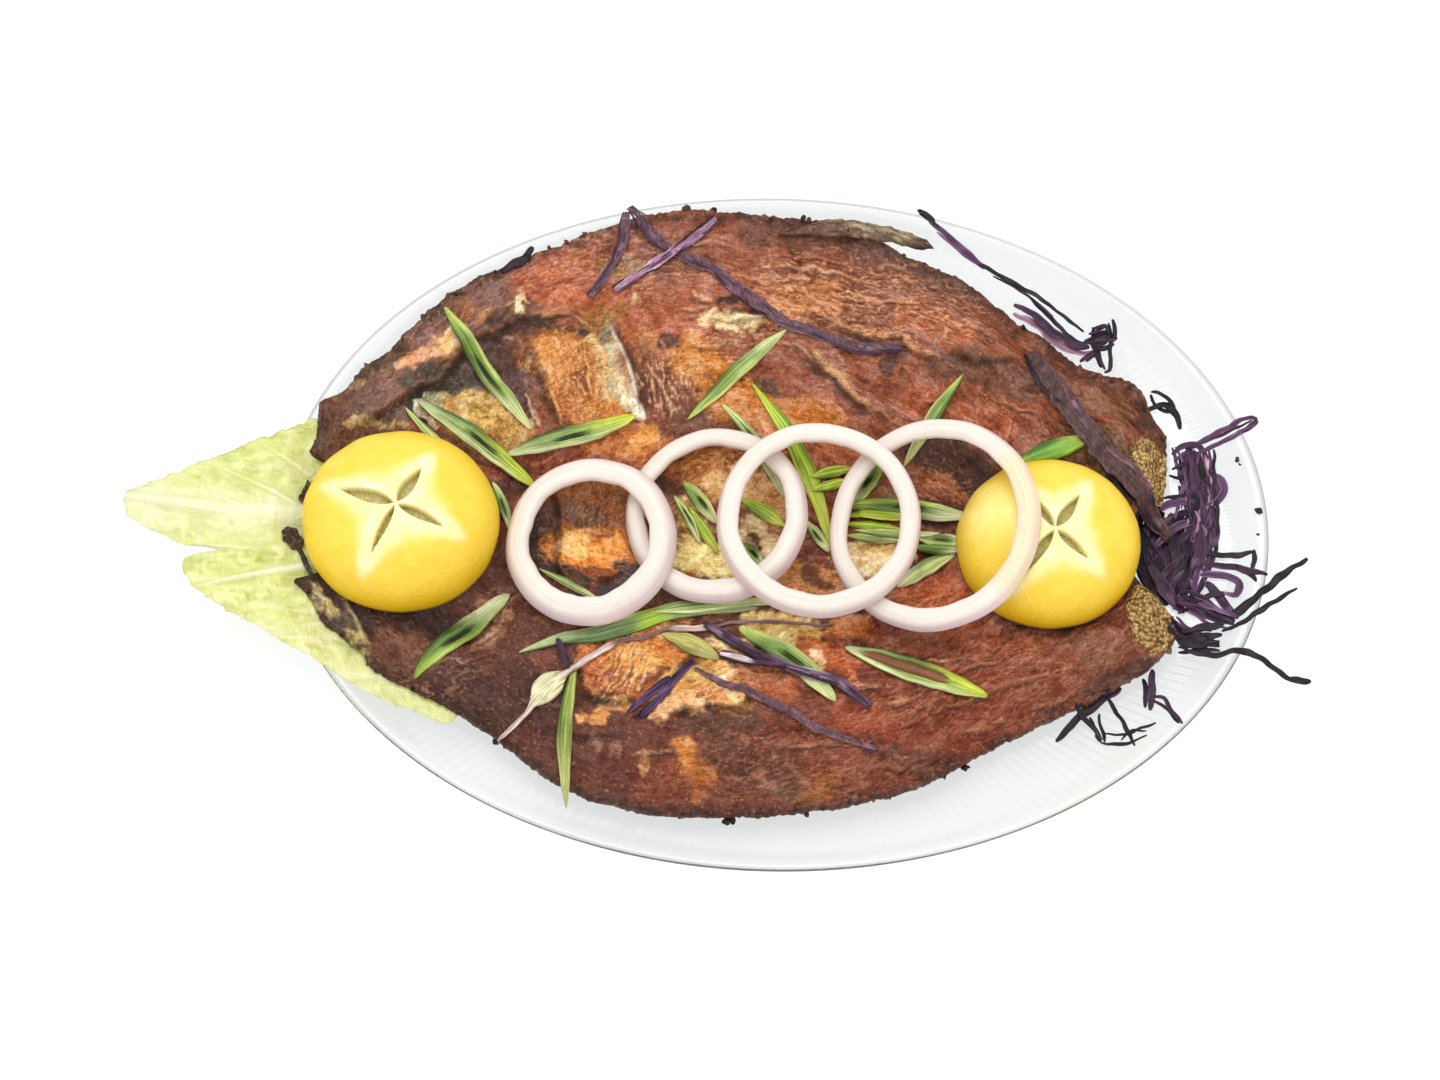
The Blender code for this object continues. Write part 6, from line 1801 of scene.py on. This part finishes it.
def tangle_threads(rng):
    """Fine strands that wind along the flow of the tangle."""
    flow = smooth(TANGLE_FLOW, 60)
    strands = []
    for number in range(TANGLE_THREADS):
        first = int(rng.integers(0, 38))
        last = first + int(rng.integers(10, 22))
        aside = rng.uniform(-6.5, 5.5)
        drift = rng.uniform(-3.5, 3.5)
        wave = rng.uniform(0, 6)
        picked = flow[first:last:3]
        share = np.linspace(0, 1, len(picked))
        bend = aside + drift * share + 0.9 * np.sin(5 * share + wave)
        picked = picked + np.column_stack([bend, 0.3 * drift * share])
        look = ("violet", "deep", "deep", "black", "pink", "violet", "deep")[number % 7]
        strands.append((picked, rng.uniform(0.8, 1.5), look))
    side = smooth(SIDE_FLOW, 40)
    for number in range(SIDE_THREADS):
        first = int(rng.integers(0, 20))
        picked = side[first:first + int(rng.integers(12, 20)):3]
        share = np.linspace(0, 1, len(picked))
        bend = rng.uniform(-2.5, 4.5) + rng.uniform(-1, 3) * share
        picked = picked + np.column_stack([bend, 0 * share])
        strands.append((picked, rng.uniform(0.9, 1.5), ("black", "deep", "black", "violet")[number % 4]))
    return strands


def fray(part):
    """A shred and the finer strands that lie along its edges."""
    path, width, look = part
    if width < 3 and look != "bright" or look == "white":
        return [part]
    line = smooth(path, 4 * len(path))
    _, aside = heading(line)
    wave = np.sin(np.linspace(0, 1.6 * len(path), len(line)))
    strands = [part]
    tints = FRAY_TINTS.get(look, ("violet", "black", look))
    for reach, finer, tint in zip((0.36, -0.4, -0.12), (0.3, 0.26, 0.22), tints):
        moved = line + aside * (width * reach * (0.75 + 0.4 * wave))[:, None]
        strands.append((moved, width * finer, tint))
    return strands


def bundle(part, rng):
    """A broad part of a knot as strands that run side by side."""
    path, width, look = part
    if width < 5:
        return [part]
    line = smooth(path, 4 * len(path))
    _, aside = heading(line)
    strands = [(path, 0.62 * width, "black")]
    for reach in np.linspace(-0.46, 0.46, round(width / 1.25)):
        wave = 0.5 * np.sin(np.linspace(0, 1.5 * len(path), len(line)) + rng.uniform(0, 6))
        tint = (look, "deep", "black", "violet", look)[int(rng.integers(0, 5))]
        strands.append((line + aside * (width * reach + wave)[:, None], rng.uniform(1.2, 2.1), tint))
    return strands


def knot_level(line, width, low, pile, guide, rng):
    """Height of a strand of a knot at each station: on the pile, or up to the solid's heap."""
    stations = np.arange(len(line))
    ceiling = np.array([guide.top(x, y) for x, y in line])
    floor = np.array([pile.top(x, y) for x, y in line])
    seen = np.flatnonzero(ceiling)
    level = floor + GAP - low
    if len(seen):
        sunk = 3.0 if width > 5 else 0.9 + rng.uniform(0, 1.6)
        level = np.maximum(level, np.interp(stations, seen, ceiling[seen]) - sunk)
    for _ in range(8):
        level[1:-1] = (level[:-2] + 2 * level[1:-1] + level[2:]) / 4
    return level


def build_shreds(name, material, pile, guide):
    """Shreds of red cabbage: one wavy ribbon, or a knot of them that follows the solid's heap."""
    knot = name in KNOTS
    order = list(SHREDS).index(name)
    rng = np.random.default_rng(500 + order)
    parts = []
    for part in SHREDS[name]:
        parts += bundle(part, rng) if knot else fray(part)
    if name == "cabbage_tangle":
        parts += tangle_threads(rng)
    grids, paints, grains = [], [], []
    for number, (path, width, look) in enumerate(parts):
        seed = 300 + 60 * order + number
        length = length_of(path, 60)
        step = STATION_STEP * (SEE_THROUGH_STEP if look in SEE_THROUGH else SHRED_STEP)
        stations = max(12, round(length / step))
        line = smooth(path, stations)
        sway = (0.5 if knot else 0.25) * wander(np.linspace(0, length / 4.5, stations), seed)
        line = line + heading(line)[1] * sway[:, None]
        thick = 1.2 if look == "band" else 0.9
        twist = 0.25 if look in ("band", "white") else 0.8
        half, rows, paint, grain = ribbon(line, width, thick, look, seed, twist)
        low = rows[:, :, 2].min(axis=1)
        if knot:
            level = knot_level(line, width, low, pile, guide, rng)
            level += 0.5 * wander(np.linspace(0, length / 6, stations), seed + 9, offset=1.0)
        else:
            level = strip_level(line, half, SHRED_UNDER, pile, 0.02)
            if number:
                level += 0.35 + 0.3 * wander(np.linspace(0, length / 7, stations), seed, offset=1.0)
            level -= low
        rows[:, :, 2] += level[:, None]
        grids.append(rows)
        paints.append(paint)
        grains.append(grain)
    shreds = make(f"red_{name}", *tubes(grids), material, "red_cabbage", paint=np.vstack(paints),
                  grain=np.vstack(grains))
    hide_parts(name)
    return shreds


# --- fin, crumbs and mouth ------------------------------------------------------------------------
FIN_DROP = 0.8              # the photographed fin lies a little nearer than the solid's path
FIN_STATIONS = 90
FIN_COLUMNS = 28


def even_masks(count, crisp):
    """Masks of a fried piece that is as crisp all over and has no grainy end."""
    return {"crisp": np.full(count, crisp), "tail": np.zeros(count)}


def build_fin(material):
    """The stub of a fin that lies along the far edge: grey-brown skin with a charred end."""
    line = smooth(FIN_PATH, FIN_STATIONS)
    _, aside = heading(line)
    shares = np.linspace(0, 1, FIN_STATIONS)
    swell = 0.5 + 0.5 * np.sin(math.pi * shares) ** 0.7
    swell = swell * (0.3 + 0.7 * ramp(shares, 0.0, 0.3))
    turn = circle(FIN_COLUMNS)
    rows, paints, grains = [], [], []
    for i, share in enumerate(shares):
        x, y = line[i] - (0, FIN_DROP)
        rough = 1 + 0.2 * layered(share * 18, np.cos(turn) * 1.5, 1, 900, 2)
        torn = 1 - 0.55 * ramp(share, 0.95, 1.0)
        out = 0.42 * FIN_WIDTH * swell[i] * torn * np.cos(turn) * rough
        base = float(plate_height(x, y)) + FISH_EDGE + 0.2
        up = base + FIN_THICK / 2 * (0.5 + 0.5 * swell[i]) * (1 + torn * np.sin(turn) * rough)
        rays = noise(share * 9, out * 1.1, 1, 903)
        jut = 1.6 * wander(out, 906, 1.3) * (share == 1)
        rows.append(np.column_stack([x + aside[i, 0] * out + jut, y + aside[i, 1] * out,
                                     up + 0.25 * rays]))
        brown = toward(linear(112, 78, 62), ramp(share, 0.25, 0.6), (142, 124, 94))
        spots = 0.5 * ramp(share, 0.25, 0.5) * ramp(noise(share * 16, out, 2, 905), 0.1, 0.6)
        specks = 0.65 * ramp(noise(share * 26, out * 1.1, 1.3, 908), 0.12, 0.5)
        charred = ramp(share, 0.8, 0.95) * (0.6 + 0.4 * ramp(rays, 0.2, -0.3))
        colour = brown * (1 + 0.8 * rays)[:, None]
        colour = toward(colour, 0.75 * ramp(np.cos(turn), 0.3, -0.7), (96, 70, 56))
        colour = toward(colour, spots, (184, 168, 128))
        colour = toward(colour, specks, (74, 54, 42))
        paints.append(toward(colour, charred, (64, 44, 32)))
        grains.append(np.column_stack([np.full(FIN_COLUMNS, share * 52), out, up]))
    points, faces = tubes([rows])
    fin = make("milkfish_fin", points, faces, material, "fried_fish",
               paint=np.clip(np.vstack(paints), 0.005, 1), grain=np.vstack(grains),
               masks=even_masks(len(points), 0.5))
    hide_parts("fish")
    return fin


# Crumbs that the photograph shows: x, y, size.
CRUMB_SPOTS = [(156.8, 6.5, 1.5), (150.7, 24.5, 0.9), (156.3, -1.0, 0.6), (151.5, 23, 0.5),
               (-31, 108.5, 1.7), (-22, 108.5, 1.5), (8, 105.5, 1.4), (10, 105, 1.0), (-14, -96.8, 1.5),
               (-12, -96.3, 1.2), (11.5, -93.6, 1.0), (62, -77.4, 1.3), (-88, -72.4, 1.2)]
EDGE_CRUMBS = 26            # more of them along the edge
CRUMB_SIDES = 9
CRUMB_ROWS = 6
CRUMB_TINTS = [(56, 38, 30), (92, 60, 42), (40, 30, 26)]
# Torn bits of the jaw on the lettuce: path, width.
MOUTH_BITS = [([(-153.6, 3.6), (-152, 5.8), (-149.5, 8)], 3.6), ([(-151.5, 6.8), (-150.5, 9)], 2.2),
              ([(-158, -6), (-155.3, -9), (-152.6, -12.4)], 5.4),
              ([(-154, -10.5), (-151.6, -15), (-149.5, -19), (-147.5, -22.5)], 1.8)]


def build_mouth_bits(material, pile):
    """Dark crisp bits that have come off the jaw."""
    grids, paints, grains = [], [], []
    for number, (path, width) in enumerate(MOUTH_BITS):
        line = smooth(path, 26)
        half, rows, _, grain = ribbon(line, width, 1.0, "black", 960 + number, 0.5)
        level = strip_level(line, half, SHRED_UNDER, pile, 0.03)
        rows[:, :, 2] += (level - rows[:, :, 2].min(axis=1))[:, None]
        blot = layered(rows[:, :, 0].ravel(), rows[:, :, 1].ravel(), 1.6, 970, 2)
        paints.append(linear(60, 44, 34) + ramp(blot, 0.0, 0.7)[:, None] * linear(90, 66, 44))
        grids.append(rows)
        grains.append(grain)
    points, faces = tubes(grids)
    return make("mouth_bits", points, faces, material, "fried_fish", paint=np.vstack(paints),
                grain=np.vstack(grains), masks=even_masks(len(points), 0.6))


def crumb_spots(rng):
    """Where the crumbs lie and how large they are: the ones seen and more along the fish's edge."""
    outline = np.vstack([smooth(FISH_UPPER, 700), smooth(FISH_LOWER, 700)])
    spots = list(CRUMB_SPOTS)
    for index in rng.choice(len(outline), EDGE_CRUMBS, replace=False):
        x, y = outline[index] * (1 + 0.004 * rng.normal())
        y += NEAR_SHORT * (y < -55)
        size = rng.uniform(0.35, 0.9)
        if all(math.hypot(x - a, y - b) > radius + 4 for (a, b), radius, _, _ in LEMONS.values()):
            spots.append((x, y, size))
    return spots


def build_crumbs(material, pile):
    """Dark crisp crumbs along the edge of the fish, by its mouth and on the platter."""
    rng = np.random.default_rng(77)
    grids, paints = [], []
    turns = circle(CRUMB_SIDES)
    for number, (x, y, size) in enumerate(crumb_spots(rng)):
        level = max(pile.top(x, y), 0.3)
        stretch = rng.uniform(0.6, 1.0, 3) * (1.15, 1.15, 0.8)
        rows = []
        for tilt in np.linspace(-1.35, 1.35, CRUMB_ROWS):
            ring = np.column_stack([np.cos(turns) * math.cos(tilt), np.sin(turns) * math.cos(tilt),
                                    np.full(CRUMB_SIDES, math.sin(tilt) + 0.9)])
            lumpy = 1 + 0.22 * rng.normal(size=(CRUMB_SIDES, 1))
            rows.append(ring * size * stretch * lumpy + (x, y, level))
        grids.append(rows)
        shades = rng.uniform(0.7, 1.3, (CRUMB_ROWS * CRUMB_SIDES, 1))
        paints.append(linear(*CRUMB_TINTS[number % 3]) * shades)
    points, faces = tubes(grids)
    return make("crumbs", points, faces, material, "fried_fish", paint=np.vstack(paints), grain=points,
                masks=even_masks(len(points), 1.0))


# --- stage ----------------------------------------------------------------------------------------
WHITE = (1.0, 1.0, 1.0, 1.0)
FLOOR_SIZE = 6.0            # metres, as are the places and widths of the lamps
LAMPS = {                   # place, width, power
    "key": ((-0.2, 0.4, 1.25), 0.8, 8.0),
    "fill": ((0.4, -0.5, 1.2), 1.2, 3.0),
}


def build_floor():
    """A plain pale floor that glows like a light table."""
    mesh = bpy.data.meshes.new("floor")
    corners = [(-1, -1), (1, -1), (1, 1), (-1, 1)]
    mesh.from_pydata([(x * FLOOR_SIZE, y * FLOOR_SIZE, -0.0002) for x, y in corners], [], [(0, 1, 2, 3)])
    look = Material("floor", Roughness=0.8, Emission_Color=WHITE, Emission_Strength=0.8)
    cloud = look.noise(look.place(), 3.0, 2.0)
    look.set("Base Color", look.mix(cloud, solid((0.2, 0.2, 0.2)), solid((0.23, 0.23, 0.23))))
    mesh.materials.append(look.data)
    floor = bpy.data.objects.new("floor", mesh)
    bpy.context.collection.objects.link(floor)


def build_lights():
    """White light from all round and two soft lamps above."""
    world = bpy.data.worlds.new("studio")
    world.use_nodes = True
    world.node_tree.nodes["Background"].inputs["Color"].default_value = WHITE
    world.node_tree.nodes["Background"].inputs["Strength"].default_value = 0.9
    bpy.context.scene.world = world
    for name, (place, width, power) in LAMPS.items():
        light = bpy.data.lights.new(name, "AREA")
        light.energy = power
        light.size = width
        lamp = bpy.data.objects.new(name, light)
        lamp.location = place
        lamp.rotation_euler = (Vector((0, 0, 0.02)) - Vector(place)).to_track_quat("-Z", "Y").to_euler()
        bpy.context.collection.objects.link(lamp)


def build_camera():
    """The photograph's view, with its colours shown as they are."""
    elevation = math.radians(CAMERA_ELEVATION)
    roll = math.radians(CAMERA_ROLL)
    forward = Vector((0, math.cos(elevation), -math.sin(elevation)))
    right = Vector((1, 0, 0))
    up = Vector((0, math.sin(elevation), math.cos(elevation)))
    across = math.cos(roll) * right + math.sin(roll) * up
    upward = -math.sin(roll) * right + math.cos(roll) * up
    data = bpy.data.cameras.new("camera")
    data.lens = CAMERA_LENS
    data.sensor_width = 36.0
    data.sensor_fit = "HORIZONTAL"
    data.clip_start = 0.01
    data.clip_end = 50.0
    camera = bpy.data.objects.new("camera", data)
    where = (Vector(CAMERA_TARGET) - forward * CAMERA_DISTANCE) * MM
    turn = Matrix((across, upward, -forward)).transposed().to_4x4()
    camera.matrix_world = Matrix.Translation(where) @ turn
    bpy.context.collection.objects.link(camera)
    bpy.context.scene.camera = camera
    bpy.context.scene.view_settings.view_transform = "Standard"


def build_dish():
    """Lay every piece of the dish in the order of the solids."""
    pile = Pile()
    guide = Pile()
    for name in KNOTS:
        guide.add(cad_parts[name])
    greens = strand_material("spring_onion", 0.34, 0.32, 2.2, 0.0004, 0.12)
    purples = strand_material("red_cabbage", 0.38, 0.2, 1.8, 0.0005, 0.04)
    lemons = lemon_material()
    onions = onion_material()
    pile.add(build_plate(glass_material()))
    pile.add(build_leaf(leaf_material()))
    fried = fried_material()
    for piece in build_fish(fried, pile):
        pile.add(piece)
    pile.add(build_fin(fried))
    names = list(SHREDS)
    greens_come = names.index("cabbage_pale")   # the slices lie on the shreds before this one
    for name in names[:greens_come]:
        pile.add(build_shreds(name, purples, pile, guide))
    for name in [*SLIVERS, *SLIVER_TWINS]:
        pile.add(build_sliver(name, greens, pile))
    for name in names[greens_come:]:
        pile.add(build_shreds(name, purples, pile, guide))
    for name in LEMONS:
        pile.add(build_lemon(name, lemons, pile))
    for name in RINGS:
        pile.add(build_ring(name, onions, pile))
    build_mouth_bits(fried, pile)
    build_crumbs(fried, pile)


build_dish()
build_floor()
build_lights()
build_camera()

bpy.context.view_layer.update()
